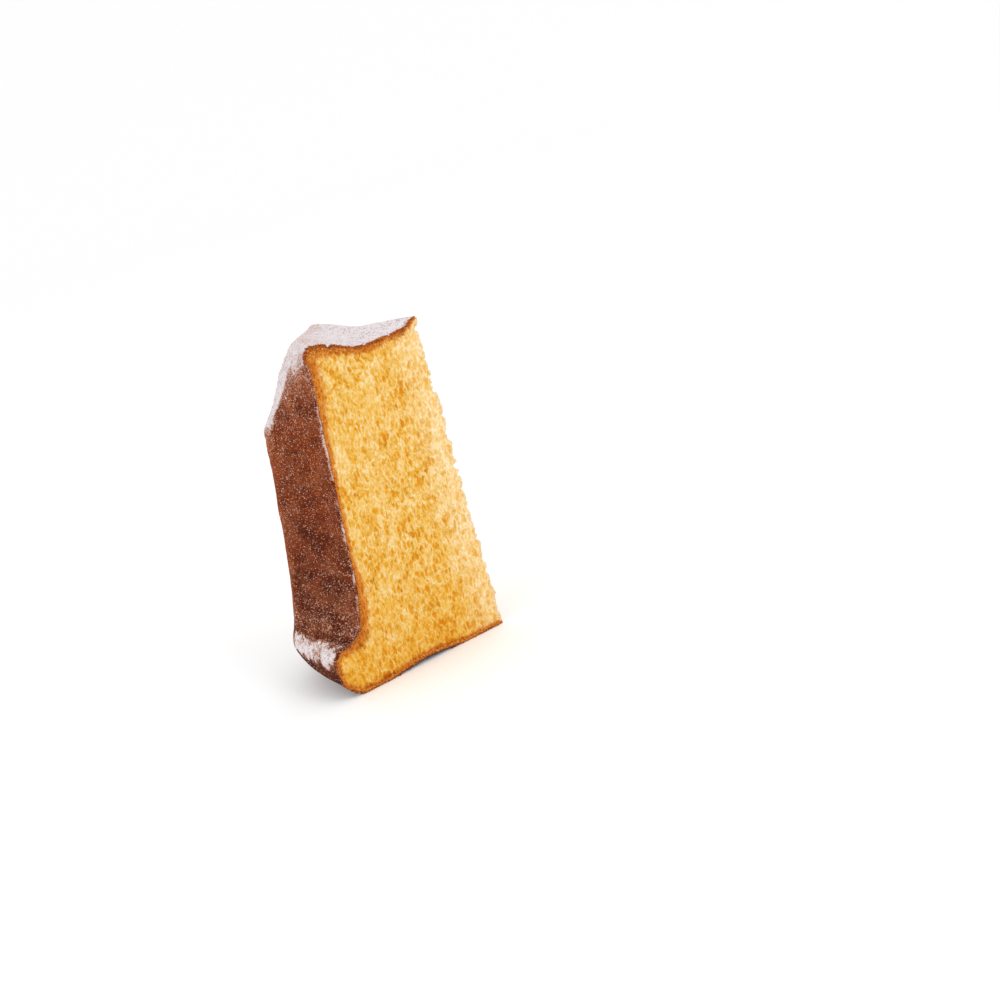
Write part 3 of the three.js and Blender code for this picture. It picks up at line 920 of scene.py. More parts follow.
def cut_sheet(side):
    """One of the two cuts as a grid of points, [row, share]. Its three crusted borders are drawn
    onto the hidden border by a Coons blend: the side's offset, plus what the top's and the base's
    have beyond it, each fading inwards. Then the relief pushes it in."""
    edge = 0 if side < 0 else -1
    points = slice_point(shares[None, :], side, rows[:, None])
    up = np.linspace(0, 1, CRUMB_ROWS)[:, None, None]
    at_side = (side_part[:, edge] - points[:, -1])[:, None] * smooth(*SIDE_BLEND, shares)[:, None]
    at_base = (base_part[:, edge] - points[0])[None] - at_side[:1]
    at_top = (top_part[:, edge] - points[-1])[None] - at_side[-1:]
    points = points + at_side + at_base * (1 - smooth(*BASE_BLEND, up))
    points = points + at_top * smooth(*TOP_BLEND, up)

    radius = np.hypot(AXIS_X - points[..., 0], points[..., 1])
    height = points[..., 2].copy()
    depth, pore = cut_relief(radius, height, LAYER["near cut" if side < 0 else "far cut"])
    browned = browning(radius, height, border[:, edge])
    depth = LEAST_DEPTH + (depth - LEAST_DEPTH) * (1 - smooth(*CALM, browned))
    depth = np.minimum(depth, MOST_DEPTH * shares * radius[:, -1:] * math.sin(CUT_ANGLE))
    points[..., 0] -= depth * math.sin(CUT_ANGLE)
    points[..., 1] -= depth * math.cos(CUT_ANGLE) * side
    return points, {"pore": pore, "browned": browned, "from_axis": radius}


def hidden_sheet(points):
    """A sheet that the crust covers: it needs no colour of its own."""
    return points, HIDDEN_VALUES


def make_crumb():
    """Five sheets that share their borders: the two cuts, the side, the top and the base."""
    near, far = cut_sheet(-1.0), cut_sheet(1.0)
    side, top, base = side_part.copy(), top_part.copy(), base_part.copy()
    side[:, 0], side[:, -1] = near[0][:, -1], far[0][:, -1]
    top[:, 0], top[:, -1] = near[0][-1], far[0][-1]
    base[:, 0], base[:, -1] = near[0][0], far[0][0]
    turned = {key: value.T for key, value in far[1].items()}
    sheets = [near, (far[0].swapaxes(0, 1), turned)]
    sheets += [hidden_sheet(side), hidden_sheet(top.swapaxes(0, 1)), hidden_sheet(base)]
    return closed_piece("crumb", sheets)


crumb = make_crumb()

# %% [markdown]
# ## The icing sugar
# Where sugar lies thick it is a soft layer with a grainy face and a ragged end. A layer of even
# thickness would look like icing. So its height above the crust is the cover minus a threshold of
# noise: where little lies, only the highest specks stand out of the crust, and the rest of the
# sheet runs hidden under it. Its edge then breaks up by itself.

# %% The sheets of sugar
SUGAR_COLUMNS = 200
LEDGE_STEPS, SHOULDER_STEPS, SUGAR_TOP_STEPS = 72, 170, 140
SUGAR_HEIGHT, SUGAR_MOST, SUGAR_SUNK = 0.34, 0.42, 0.5
SUGAR_GRAIN = ((0.5, 0.8), (0.35, 0.4), (0.45, 3.4))  # share and size in mm of its waves
SUGAR_SLANT = (0.6, 0.5)
COVER_LIFTS, GRAIN_LIFTS, BARE_SINKS = 1.8, 0.62, 0.95
LEDGE_SHEET = (station("under the lip"), station("foot of the panel"))
SHOULDER_SHEET = station("upper panel") + 4
SHEET_END = 0.02  # share of the path over which a sheet's ends sink under the crust
AT_AXIS = 2.99  # a stretch that runs past this place on the path ends at the axis


def sugar_height(points, cover):
    """Height of the sugar over the crust, in mm: cover against noise of three grain sizes, taken
    on a slanting plane so that it differs on every face."""
    a = points[..., 0] + points[..., 2] * SUGAR_SLANT[0]
    b = points[..., 1] - points[..., 2] * SUGAR_SLANT[1]
    grain = 0.0
    for k, (share, size) in enumerate(SUGAR_GRAIN):
        grain = grain + share * waves(a / size, b / size, LAYER["sugar"] + k)
    stands = cover * COVER_LIFTS - BARE_SINKS + GRAIN_LIFTS * grain
    return np.clip(stands * SUGAR_HEIGHT, -SUGAR_SUNK / 2, SUGAR_MOST)


def sugar_sheet(steps):
    """A closed layer over the crust along a stretch of the path: one loop of points a step, the
    grainy outside and then the plain underside. A stretch that stops short of the axis is shut at
    its ends."""
    path, across = np.meshgrid(steps, np.linspace(-1, 1, SUGAR_COLUMNS), indexing="ij")
    skin, inwards = crust_surface(path, across)
    stops_short = steps[-1] < AT_AXIS
    starts = smooth(0, SHEET_END, path - steps[0])
    ends = smooth(0, SHEET_END, steps[-1] - path) if stops_short else 1.0
    height = sugar_height(skin, sugar_cover(path, across) * starts * ends)
    outside = skin - inwards * height[..., None]
    path_few, across_few = np.meshgrid(steps, HIDDEN_ACROSS, indexing="ij")
    few, few_inwards = crust_surface(path_few, across_few)
    few[:, 0], few[:, -1] = skin[:, 0], skin[:, -1]
    few_inwards[:, 0], few_inwards[:, -1] = inwards[:, 0], inwards[:, -1]
    inside = (few + few_inwards * SUGAR_SUNK)[:, few_columns(across[0])]
    loop = np.concatenate([outside, inside[:, ::-1], outside[:, :1]], axis=1)
    heights = np.concatenate([height, 0 * height, height[:, :1]], axis=1)
    sheets = [(loop, {"height": heights})]
    sheets += [(np.stack([inside[0], outside[0]]), {"height": 0.0})]
    if stops_short:
        sheets += [(np.stack([outside[-1], inside[-1]]), {"height": 0.0})]
    return sheets


def make_icing_sugar():
    ledge = 1 + np.linspace(*LEDGE_SHEET, LEDGE_STEPS) / OUTLINE
    shoulder = 1 + np.linspace(SHOULDER_SHEET, OUTLINE, SHOULDER_STEPS, endpoint=False) / OUTLINE
    top = np.concatenate([shoulder, 2 + np.linspace(0, 1, SUGAR_TOP_STEPS)])
    return closed_piece("icing_sugar", [*sugar_sheet(ledge), *sugar_sheet(top)])


icing_sugar = make_icing_sugar()

# %% [markdown]
# ## Loose grains
# Single grains and small clumps cling to the brown panels, and stand out against the light on top.
# Thousands of them are needed, so each is only an octahedron, and all of them are made at once as
# arrays: random places on the crust, kept where the cover allows, each with its own size and turn.

# %% Scattered lumps
OCTAHEDRON = np.array([[1, 0, 0], [-1, 0, 0], [0, 1, 0], [0, -1, 0], [0, 0, 1], [0, 0, -1]], float)
OCTAHEDRON_FACES = np.array([
    [0, 2, 4], [2, 1, 4], [1, 3, 4], [3, 0, 4], [2, 0, 5], [1, 2, 5], [3, 1, 5], [0, 3, 5],
])


def random_turns(random, count):
    """Random rotation matrices: the axes of a random frame, made square to each other."""
    first = random.normal(size=(count, 3))
    first /= np.linalg.norm(first, axis=1, keepdims=True)
    second = np.cross(first, random.normal(size=(count, 3)))
    second /= np.linalg.norm(second, axis=1, keepdims=True)
    return np.stack([first, second, np.cross(first, second)], axis=1)


def make_lumps(name, random, centres, sizes, solid, unevenness, values):
    """One piece of many small lumps. A solid is its corners and its faces: the corners are turned,
    drawn in and out at random, and kept inside the slice's box."""
    solid_corners, faces = solid
    count, per_lump = len(centres), len(solid_corners)
    turned = np.einsum("kj,njl->nkl", solid_corners, random_turns(random, count))
    lumps = turned * sizes[:, None, None]
    lumps = lumps * random.uniform(1 - unevenness, 1 + unevenness, (count, per_lump, 1))
    box_low, box_high = np.array(slice_low) / MM + BOX_GAP, np.array(slice_high) / MM - BOX_GAP
    corners = np.clip(centres[:, None] + lumps, box_low, box_high)
    first = per_lump * np.arange(count)[:, None, None]
    values = {key: np.repeat(value, per_lump) for key, value in values.items()}
    return make_piece(name, corners.reshape(-1, 3), (faces + first).reshape(-1, 3), values)


# %% Sugar grains
GRAIN_TRIES, GRAIN_MOST = 90000, 24500
GRAIN_SIZES = (0.1, 0.3)  # half a grain's width, mm
FINE_GRAINS = 2.4  # the higher, the fewer large ones
GRAIN_UNEVENNESS = 0.25
GRAINS_END = 2.97  # place on the path
DEEP_INSET_FROM = 1.96  # place on the path
GRAINS_ON_SHEET, THICK_COVER = 0.42, 0.7  # share of the tries kept where the sugar lies thick
BARE_CHANCE, COVER_CHANCE = 0.06, 1.3  # on the bare crust, and how much more under full cover
CLUMP_SIZE = (14, 2.2)  # clumps a panel, and their length in mm
CLUMP_CHANCES = (0.2, 1.1)  # between the clumps, and how much more in them
VALLEY_GRAINS, VALLEY_CHANCE = 0.7, 1.6  # mm from the cut, and how many more of them lie there


def scattered_skin(path, across):
    """Points of the skin at scattered places, and their normals from two short steps."""
    step = 1e-3
    points = skin_point(path, across)
    onwards = skin_point(path + step, across) - points
    sideways = skin_point(path, across + step) - points
    normals = np.cross(onwards, sideways)
    normals /= np.maximum(np.linalg.norm(normals, axis=1, keepdims=True), 1e-12)
    inset = lerp(SKIN_INSET, RIM_INSET, path > DEEP_INSET_FROM)
    inset = inset + SKIN_RELIEF + worn_ridge(path, across)
    return points - normals * inset[:, None], normals


def make_sugar_grains():
    """Tries spread evenly over side and top, kept by the cover where it is thin, by a fixed share
    where it is thick, and more in clumps and in the valley than elsewhere."""
    random = np.random.default_rng(SEED)
    path = random.uniform(station_path("under the lip"), GRAINS_END, GRAIN_TRIES)
    across = random.uniform(-1, 1, GRAIN_TRIES)
    cover = sugar_cover(path, across)
    per_panel, length = CLUMP_SIZE
    clumps = waves(across * per_panel, path_length(path) / length, LAYER["clumps"])
    clumps = 0.5 + 0.5 * clumps
    width = path_share(path) * outline(path_along(path))[0] / LIP_RADIUS
    on_skin = BARE_CHANCE + COVER_CHANCE * cover
    on_skin = on_skin * (CLUMP_CHANCES[0] + CLUMP_CHANCES[1] * clumps**2)
    in_valley = (cut_margin(path, across) < VALLEY_GRAINS) & (path < station_path("shoulder"))
    chance = np.where(cover > THICK_COVER, GRAINS_ON_SHEET, on_skin)
    chance = chance + VALLEY_CHANCE * clumps * in_valley
    kept = random.uniform(0, 1, GRAIN_TRIES) < width * chance
    kept &= np.cumsum(kept) <= GRAIN_MOST
    points, normals = scattered_skin(path[kept], across[kept])
    raised = np.clip(sugar_height(points, cover[kept]), 0, None)
    sizes = lerp(*GRAIN_SIZES, random.uniform(0, 1, len(points)) ** FINE_GRAINS)
    centres = points + normals * raised[:, None]
    solid = (OCTAHEDRON, OCTAHEDRON_FACES)
    return make_lumps("sugar_grains", random, centres, sizes, solid, GRAIN_UNEVENNESS, {})


sugar_grains = make_sugar_grains()

# %% [markdown]
# ## Crumbs
# A knife doesn't leave a clean line. Crumbs of brown crust are dragged over the cut's edge, most of
# them along the top, and tufts of torn crumb stand out of the thin edge, pale with painted light.
# They are lumps of twenty faces. One value, their tone, runs from the darkest crust to the palest
# tuft.

# %% Crumbs on the cuts
CRUMB_SIZES = (0.18, 0.56)
CRUMB_UNEVENNESS = 0.35
EDGE_CRUMBS, THIN_EDGE_TUFTS = 3000, 1400
EDGE_STRETCH, EDGE_STEPS = (0.02, 2.98), 6000  # places on the path, and how finely it is divided
DARK_CROWDING = 3  # the higher, the more of them lie where the edge is dark
EDGE_CRUMBS_ON_CUT = 0.2  # how far their middles stand out of the cut, mm
EDGE_CRUMBS_BEHIND = 1.8  # how far behind the cut they may lie on the sugar, mm
EDGE_CRUMB_DEPTH = (0.25, 0.42)  # mean and spread, in thicknesses of the crust
MOST_OUTSIDE = 0.6  # how far outside the crust they may lie at the near cut, mm
FAR_LEAST_DEPTH = 0.2  # how far inside it they have to lie at the far cut, mm
OUTER_TONE, TONE_INWARDS, TONE_IF_PALE, TONE_UNEVEN, MOST_TONE = 0.28, 0.3, 0.16, 0.16, 0.72
# Painted light: the tufts' tones sit at the cream end, the light of the thin edge
TUFT_STRETCH, TUFT_REACH, TUFT_LIGHT_TONE = (0.02, 0.98), 0.012, (0.86, 1.0)
GOLDEN = (1 + math.sqrt(5)) / 2
ICOSAHEDRON = np.array([
    [-1, GOLDEN, 0], [1, GOLDEN, 0], [-1, -GOLDEN, 0], [1, -GOLDEN, 0],
    [0, -1, GOLDEN], [0, 1, GOLDEN], [0, -1, -GOLDEN], [0, 1, -GOLDEN],
    [GOLDEN, 0, -1], [GOLDEN, 0, 1], [-GOLDEN, 0, -1], [-GOLDEN, 0, 1],
]) / math.hypot(1, GOLDEN)
ICOSAHEDRON_FACES = np.array([
    [0, 11, 5], [0, 5, 1], [0, 1, 7], [0, 7, 10], [0, 10, 11],
    [1, 5, 9], [5, 11, 4], [11, 10, 2], [10, 7, 6], [7, 1, 8],
    [3, 9, 4], [3, 4, 2], [3, 2, 6], [3, 6, 8], [3, 8, 9],
    [4, 9, 5], [2, 4, 11], [6, 2, 10], [8, 6, 7], [9, 8, 1],
])


def out_of_cut(side):
    """The direction in which a cut looks."""
    return np.array([math.sin(CUT_ANGLE), side * math.cos(CUT_ANGLE), 0.0])


def edge_crumbs(random, side):
    """Crumbs of crust along one cut's edge, denser where its edge is darker. They lie across the
    crust's thickness, the outer ones darker."""
    steps = np.linspace(*EDGE_STRETCH, EDGE_STEPS)
    weight = round_the_cut(steps, 2) ** DARK_CROWDING
    length = np.gradient(path_length(steps))
    chance = np.cumsum(weight * length) / (weight * length).sum()
    path = np.interp(random.uniform(0, 1, EDGE_CRUMBS), chance, steps)
    skin, inwards = (
        np.stack([np.interp(path, cut_steps, part[:, k]) for k in range(3)], axis=-1)
        for part in cut_lines[side]
    )
    thickness = round_the_cut(path, 0)
    least = -MOST_OUTSIDE if side < 0 else FAR_LEAST_DEPTH
    depth = np.maximum(thickness * random.normal(*EDGE_CRUMB_DEPTH, EDGE_CRUMBS), least)
    stands = random.uniform(-1, 1, EDGE_CRUMBS) * EDGE_CRUMBS_ON_CUT
    stands = stands - EDGE_CRUMBS_BEHIND * random.uniform(0, 1, EDGE_CRUMBS) ** 2 * (depth < 0)
    centres = skin + inwards * depth[:, None] + out_of_cut(side) * stands[:, None]
    baked = round_the_cut(path, 2)
    tone = OUTER_TONE + TONE_INWARDS * depth / thickness + TONE_IF_PALE * (1 - baked)
    tone = tone + TONE_UNEVEN * baked**2 * random.normal(size=EDGE_CRUMBS)
    return centres, np.clip(tone, 0, MOST_TONE)


def thin_edge_tufts(random):
    """Tufts of torn crumb that stand out of the thin edge, made pale with painted light."""
    along = random.uniform(*TUFT_STRETCH, THIN_EDGE_TUFTS) * OUTLINE
    share = random.uniform(0, TUFT_REACH, THIN_EDGE_TUFTS)
    across = random.uniform(-1, 1, THIN_EDGE_TUFTS)
    centres = slice_point(share, across, along)
    return centres, random.uniform(*TUFT_LIGHT_TONE, THIN_EDGE_TUFTS)


def make_crumbs():
    random = np.random.default_rng(SEED + 1)
    groups = [edge_crumbs(random, -1), edge_crumbs(random, 1), thin_edge_tufts(random)]
    centres, tone = (np.concatenate(part) for part in zip(*groups))
    sizes = lerp(*CRUMB_SIZES, random.uniform(0, 1, len(centres)) ** 2)
    values = {"tone": np.clip(tone, 0, 1)}
    solid = (ICOSAHEDRON, ICOSAHEDRON_FACES)
    return make_lumps("crumbs", random, centres, sizes, solid, CRUMB_UNEVENNESS, values)


crumbs = make_crumbs()

# %% [markdown]
# ## Materials
# A few short helpers keep the node trees readable. Colours are named as an eye sees them, in
# steps from 0 to 255, and turned into the linear values that a shader works with.

# %% Node helpers
NOISE_SWING = 0.25  # how far noise runs up and down from a half


def colour(red, green, blue):
    """A colour as seen on a screen, 0 to 255, as linear light with full cover."""
    seen = np.array([red, green, blue]) / 255
    linear = np.where(seen <= 0.04045, seen / 12.92, ((seen + 0.055) / 1.055) ** 2.4)
    return (*linear.tolist(), 1.0)


class Recipe:
    """A material's node tree, with one short method for each kind of node."""

    def __init__(self, name):
        self.material = bpy.data.materials.new(name)
        self.material.use_nodes = True
        self.tree = self.material.node_tree
        self.shader = self.tree.nodes["Principled BSDF"]
        self.place = self.tree.nodes.new("ShaderNodeTexCoord").outputs["Object"]

    def plug(self, socket, value):
        if isinstance(value, bpy.types.NodeSocket):
            self.tree.links.new(value, socket)
        else:
            socket.default_value = value

    def set(self, **constants):
        """Numbers and colours that are the same all over, on the shader's own sockets."""
        for name, value in constants.items():
            self.shader.inputs[name.replace("_", " ")].default_value = value

    def attribute(self, name):
        node = self.tree.nodes.new("ShaderNodeAttribute")
        node.attribute_name = name
        return node.outputs["Fac"]

    def stretched(self, x, y, z, lean=0.0, place=None):
        """The place scaled along each axis, after a lean about Y in degrees."""
        node = self.tree.nodes.new("ShaderNodeMapping")
        node.inputs["Scale"].default_value = (x, y, z)
        node.inputs["Rotation"].default_value = (0.0, math.radians(lean), 0.0)
        self.plug(node.inputs["Vector"], place or self.place)
        return node.outputs["Vector"]

    def height_of_place(self):
        node = self.tree.nodes.new("ShaderNodeSeparateXYZ")
        self.plug(node.inputs[0], self.place)
        return node.outputs["Z"]

    def texture(self, kind, size, place, **numbers):
        node = self.tree.nodes.new(kind)
        node.inputs["Scale"].default_value = 1 / (size * MM)
        for name, value in numbers.items():
            node.inputs[name].default_value = value
        self.plug(node.inputs["Vector"], place or self.place)
        return node

    def noise(self, size, detail=2.0, roughness=0.5, distortion=0.0, place=None):
        """Noise whose features are about `size` millimetres wide, around a half."""
        numbers = {"Detail": detail, "Roughness": roughness, "Distortion": distortion}
        return self.texture("ShaderNodeTexNoise", size, place, **numbers).outputs["Fac"]

    def wandering(self, size, reach):
        """The place moved to and fro by noise, up to about `reach` millimetres."""
        noise = self.texture("ShaderNodeTexNoise", size, self.place, Detail=1.0).outputs["Color"]
        node = self.tree.nodes.new("ShaderNodeVectorMath")
        node.operation = "MULTIPLY_ADD"
        self.plug(node.inputs[0], noise)
        node.inputs[1].default_value = (reach / NOISE_SWING * MM,) * 3
        self.plug(node.inputs[2], self.place)
        return node.outputs[0]

    def cells(self, size, place):
        """Scattered points `size` millimetres apart: the distance to the nearest in cell widths,
        and that point's own number."""
        node = self.texture("ShaderNodeTexVoronoi", size, place)
        number = self.tree.nodes.new("ShaderNodeSeparateXYZ")
        self.plug(number.inputs[0], node.outputs["Color"])
        return node.outputs["Distance"], number.outputs["X"]

    def foam(self, size, wall, least, place):
        """Bubbles with walls: 0 on a wall of half width `wall`, and `least` to 1 inside a bubble,
        by the bubble's own number."""
        node = self.texture("ShaderNodeTexVoronoi", size, place)
        node.feature = "DISTANCE_TO_EDGE"
        inside = self.spread(node.outputs["Distance"], 0.02, wall)
        number = self.cells(size, place)[1]
        return self.calc("MULTIPLY", inside, self.spread(number, 0.1, 0.95, least, 1.0))

    def specks(self, size, reach, place=None):
        """Round specks `size` millimetres apart, each with its own radius up to `reach` times that:
        1 on a speck, 0 off it."""
        distance, number = self.cells(size, place)
        radius = self.calc("MULTIPLY", number, reach)
        return self.spread(self.calc("SUBTRACT", radius, distance), -0.04, 0.1)

    def calc(self, operation, a, b):
        """One operation of a Math node."""
        node = self.tree.nodes.new("ShaderNodeMath")
        node.operation = operation
        self.plug(node.inputs[0], a)
        self.plug(node.inputs[1], b)
        return node.outputs[0]

    def total(self, start, *parts):
        """A number, plus each (value, weight) of the parts."""
        for value, weight in parts:
            node = self.tree.nodes.new("ShaderNodeMath")
            node.operation = "MULTIPLY_ADD"
            self.plug(node.inputs[0], value)
            self.plug(node.inputs[1], weight)
            self.plug(node.inputs[2], start)
            start = node.outputs[0]
        return start

    def spread(self, value, start, end, low=0.0, high=1.0):
        """Maps start..end of a value to low..high with a smooth step."""
        node = self.tree.nodes.new("ShaderNodeMapRange")
        node.interpolation_type = "SMOOTHSTEP"
        self.plug(node.inputs["Value"], value)
        limits = {"From Min": start, "From Max": end, "To Min": low, "To Max": high}
        for name, number in limits.items():
            self.plug(node.inputs[name], number)
        return node.outputs["Result"]

    def ramp(self, value, *stops):
        """A colour for each value: straight blends between (value, colour) stops."""
        node = self.tree.nodes.new("ShaderNodeValToRGB")
        elements = node.color_ramp.elements
        for extra in stops[2:]:
            elements.new(extra[0])
        for element, (position, stop) in zip(elements, stops):
            element.position = position
            element.color = stop
        self.plug(node.inputs["Fac"], value)
        return node.outputs["Color"]

    def mix(self, share, first, second):
        node = self.tree.nodes.new("ShaderNodeMix")
        node.data_type = "RGBA"
        factor, a, b = node.inputs[0], node.inputs[6], node.inputs[7]  # those of a colour mix
        for socket, value in ((factor, share), (a, first), (b, second)):
            self.plug(socket, value)
        return node.outputs[2]

    def bump(self, height, depth):
        """Bumps of `depth` millimetres."""
        node = self.tree.nodes.new("ShaderNodeBump")
        node.inputs["Distance"].default_value = depth * MM
        self.plug(node.inputs["Height"], height)
        return node.outputs["Normal"]

    def finish(self, base_colour, normal=None):
        self.plug(self.shader.inputs["Base Color"], base_colour)
        if normal is not None:
            self.plug(self.shader.inputs["Normal"], normal)
        return self.material


# %% [markdown]
# ### Crumb
# Butter and egg yolk make the crumb yellow, and light goes a little way into it, so its shadows
# are warm. Four colours follow how open the crumb is: cream on the walls, two yellows, and gold in
# the deepest pores. They are partly the crumb's own yellows and partly painted light and shade:
# light on the walls, shade in the pores. The mesh carries the larger bubbles. Below the size of
# its cells a foam of fine walls and noise, both longer upwards and leaning two ways, carry on.
# Near the crust the same pattern turns amber and then brown, towards the thin edge it pales with
# painted light, as if light shone through the thin crumb, and low down it is deeper in colour.

# %% Crumb
# Walls to pores: the crumb's yellows, plus painted light on walls and painted shade in pores
CRUMB_STOPS = (
    (0.0, colour(237, 213, 165)),
    (0.32, colour(230, 187, 98)),
    (0.64, colour(222, 160, 38)),
    (1.0, colour(212, 130, 12)),
)
# Painted light near the thin edge: paler, as if light shone through the thin crumb
THIN_EDGE_LIGHT_STOPS = (
    (0.05, colour(244, 228, 196)),
    (0.5, colour(237, 203, 134)),
    (1.0, colour(228, 172, 66)),
)
AMBER_STOPS = (
    (0.1, colour(214, 142, 52)),
    (0.5, colour(198, 110, 22)),
    (1.0, colour(166, 78, 10)),
)
BAKED_STOPS = (
    (0.1, colour(186, 104, 40)),
    (0.5, colour(146, 70, 22)),
    (1.0, colour(96, 40, 12)),
)
THIN_EDGE_LIGHT_REACH = 24.0  # mm from the cake's axis
LOW_CRUMB = 0.06  # height in metres below which the crumb is deeper in colour


def crumb_pattern(m):
    """How open the crumb is, from 0 to 1: the mesh's bubbles, two foams and fibrous noise."""
    bent_place = m.wandering(2.6, 0.3)
    one_way = m.stretched(1.0, 1.0, 0.42, 14, bent_place)
    other_way = m.stretched(1.0, 1.0, 0.42, -18, bent_place)
    foam = m.foam(2.3, 0.3, 0.3, one_way)
    small_foam = m.foam(1.3, 0.3, 0.5, other_way)
    fibres = [m.noise(0.75, 2, 0.6, 0.2, way) for way in (one_way, other_way)]
    fibres = m.calc("MINIMUM", *fibres)
    soft = m.noise(2.4, 2, 0.5, 0.3, other_way)
    patches = m.noise(9, 2)
    opened = m.total(
        -0.95,
        (m.spread(m.height_of_place(), 0.0, LOW_CRUMB, 0.16, 0.0), 1.0),
        (m.attribute("pore"), 0.6),
        (foam, 0.48),
        (small_foam, 0.24),
        (fibres, 1.35),
        (soft, 0.45),
        (patches, 0.5),
    )
    return opened, foam, fibres


def crumb_material():
    m = Recipe("crumb")
    opened, foam, fibres = crumb_pattern(m)
    # painted shade: more open places are darker gold, as shade falls into the pores
    base = m.ramp(opened, *CRUMB_STOPS)
    axis_side = m.total(-5.0, (m.attribute("from_axis"), 1.0), (m.noise(7, 2), 10.0))
    # painted light: paler towards the thin edge near the axis
    base = m.mix(m.spread(axis_side, 0.5, THIN_EDGE_LIGHT_REACH, 0.85, 0), base, m.ramp(opened, *THIN_EDGE_LIGHT_STOPS))
    browned = m.total(-0.4, (m.attribute("browned"), 1.0), (m.noise(3.2, 3), 0.7), (fibres, 0.2))
    base = m.mix(m.spread(browned, 0.1, 0.62, 0, 0.95), base, m.ramp(opened, *AMBER_STOPS))
    base = m.mix(m.spread(browned, 0.72, 1.05, 0, 0.6), base, m.ramp(opened, *BAKED_STOPS))
    normal = m.bump(m.total(0.0, (foam, -0.5), (fibres, -0.8)), 0.4)
    m.set(Roughness=0.9, Specular_IOR_Level=0.2, Subsurface_Weight=0.25, Subsurface_Scale=0.0014)
    m.set(Subsurface_Radius=(1.0, 0.6, 0.25))
    return m.finish(base, normal)


# %% [markdown]
# ### Loose crumbs
# One ramp covers them all: burnt crust, brown, amber, crumb yellow and the cream of torn tufts,
# which is painted light.

# %% Loose crumbs
LOOSE_STOPS = (
    (0.0, colour(104, 46, 18)),
    (0.28, colour(156, 76, 28)),
    (0.5, colour(206, 120, 36)),
    (0.75, colour(232, 174, 84)),
    (1.0, colour(248, 230, 196)),
)


def loose_crumb_material():
    m = Recipe("loose_crumb")
    tone = m.total(-0.1, (m.attribute("tone"), 1.0), (m.noise(0.6, 2), 0.2))
    m.set(Roughness=0.9, Specular_IOR_Level=0.2)
    return m.finish(m.ramp(tone, *LOOSE_STOPS), m.bump(m.noise(0.3, 2), 0.1))


# %% [markdown]
# ### Crust
# The crust is a warm dark brown with small dark pits. Painted shade makes it darker low down
# and darkest under the lip, and painted light makes it lighter upwards and on the ridge. The
# dust on it has four parts: a thin veil in patches, fine specks, fewer coarse ones, and a thick
# layer where the sugar starts. All four grow with the sugar's cover. The edge that a cut shows
# runs from dark outside to the amber of the crumb inside.

# %% Crust
CRUST_STOPS = (
    (0.05, colour(60, 18, 4)),
    (0.35, colour(98, 37, 11)),
    (0.65, colour(132, 58, 24)),
    (0.95, colour(170, 95, 50)),
)
EDGE_STOPS = (
    (0.0, colour(98, 42, 16)),
    (0.35, colour(144, 68, 22)),
    (0.65, colour(180, 92, 24)),
    (1.0, colour(210, 128, 42)),
)
PIT = colour(60, 20, 8)
VEIL = colour(166, 98, 62)
DUST = colour(208, 154, 128)
THICK_DUST = colour(222, 206, 202)


def crust_material():
    m = Recipe("crust")
    height = m.height_of_place()
    grain = m.noise(0.6, 3, 0.7, 0.2)
    bands = m.noise(4.5, 3, 0.6, 0.4, m.stretched(0.35, 0.35, 1.0))
    tone = m.total(
        -1.55,
        (m.noise(12, 2), 0.6),
        (bands, 0.5),
        (grain, 2.4),
        # painted light and shade: darker low down, lighter upwards
        (m.spread(height, 0.015, 0.13, -0.04, 0.22), 1.0),  # lighter upwards
        # painted light: lighter on the ridge, where it catches the light
        (m.attribute("ridge_light"), 0.3),
        # painted shade under the overhanging lip
        (m.spread(height, 0.014, 0.028, -0.15, 0.0), 1.0),  # and darkest under the lip
    )
    base = m.ramp(tone, *CRUST_STOPS)
    cover = m.attribute("sugar")
    patches = m.spread(m.noise(9, 2), 0.35, 0.65)
    veil = m.total(-0.35, (patches, 0.42), (m.noise(1.3, 3, 0.7), 0.7), (cover, 0.9))
    base = m.mix(m.spread(veil, 0.2, 1.0, 0, 0.5), base, VEIL)
    base = m.mix(m.calc("MULTIPLY", m.specks(1.1, 0.5), 0.7), base, PIT)
    fine = m.specks(0.8, m.spread(cover, 0.05, 0.8, 0.42, 1.2))
    coarse = m.specks(1.4, m.spread(cover, 0.1, 0.9, 0.27, 1.0), m.wandering(1.2, 0.25))
    patchy = m.spread(m.noise(2.4, 3), 0.35, 0.65, 0.1, 0.85)
    base = m.mix(m.calc("MULTIPLY", fine, patchy), base, DUST)
    here_and_there = m.spread(m.noise(1.4, 2), 0.35, 0.65, 0.15, 0.85)
    base = m.mix(m.calc("MULTIPLY", coarse, here_and_there), base, DUST)
    thick = m.spread(m.total(-0.9, (m.noise(0.8, 4, 0.7), 2.0), (cover, 1.0)), 0.62, 0.95)
    base = m.mix(m.calc("MULTIPLY", thick, 0.92), base, THICK_DUST)
    under = m.attribute("under")
    uneven = m.spread(m.noise(0.9, 2, 0.6), 0.36, 0.64)
    pale = m.total(0.14, (m.attribute("baked"), -0.34), (under, 0.6), (uneven, 0.7))
    base = m.mix(m.spread(under, 0.0, 0.12), base, m.ramp(pale, *EDGE_STOPS))
    m.set(Roughness=0.8, Specular_IOR_Level=0.08)
    return m.finish(base, m.bump(m.total(0.0, (grain, 1.0), (fine, 0.4), (coarse, 0.5)), 0.14))


# %% [markdown]
# ### Icing sugar
# Sugar is almost white, matt, and a little translucent. Fine grain shows as pinkish grey specks
# where the brown crust shines through the thinner spots.

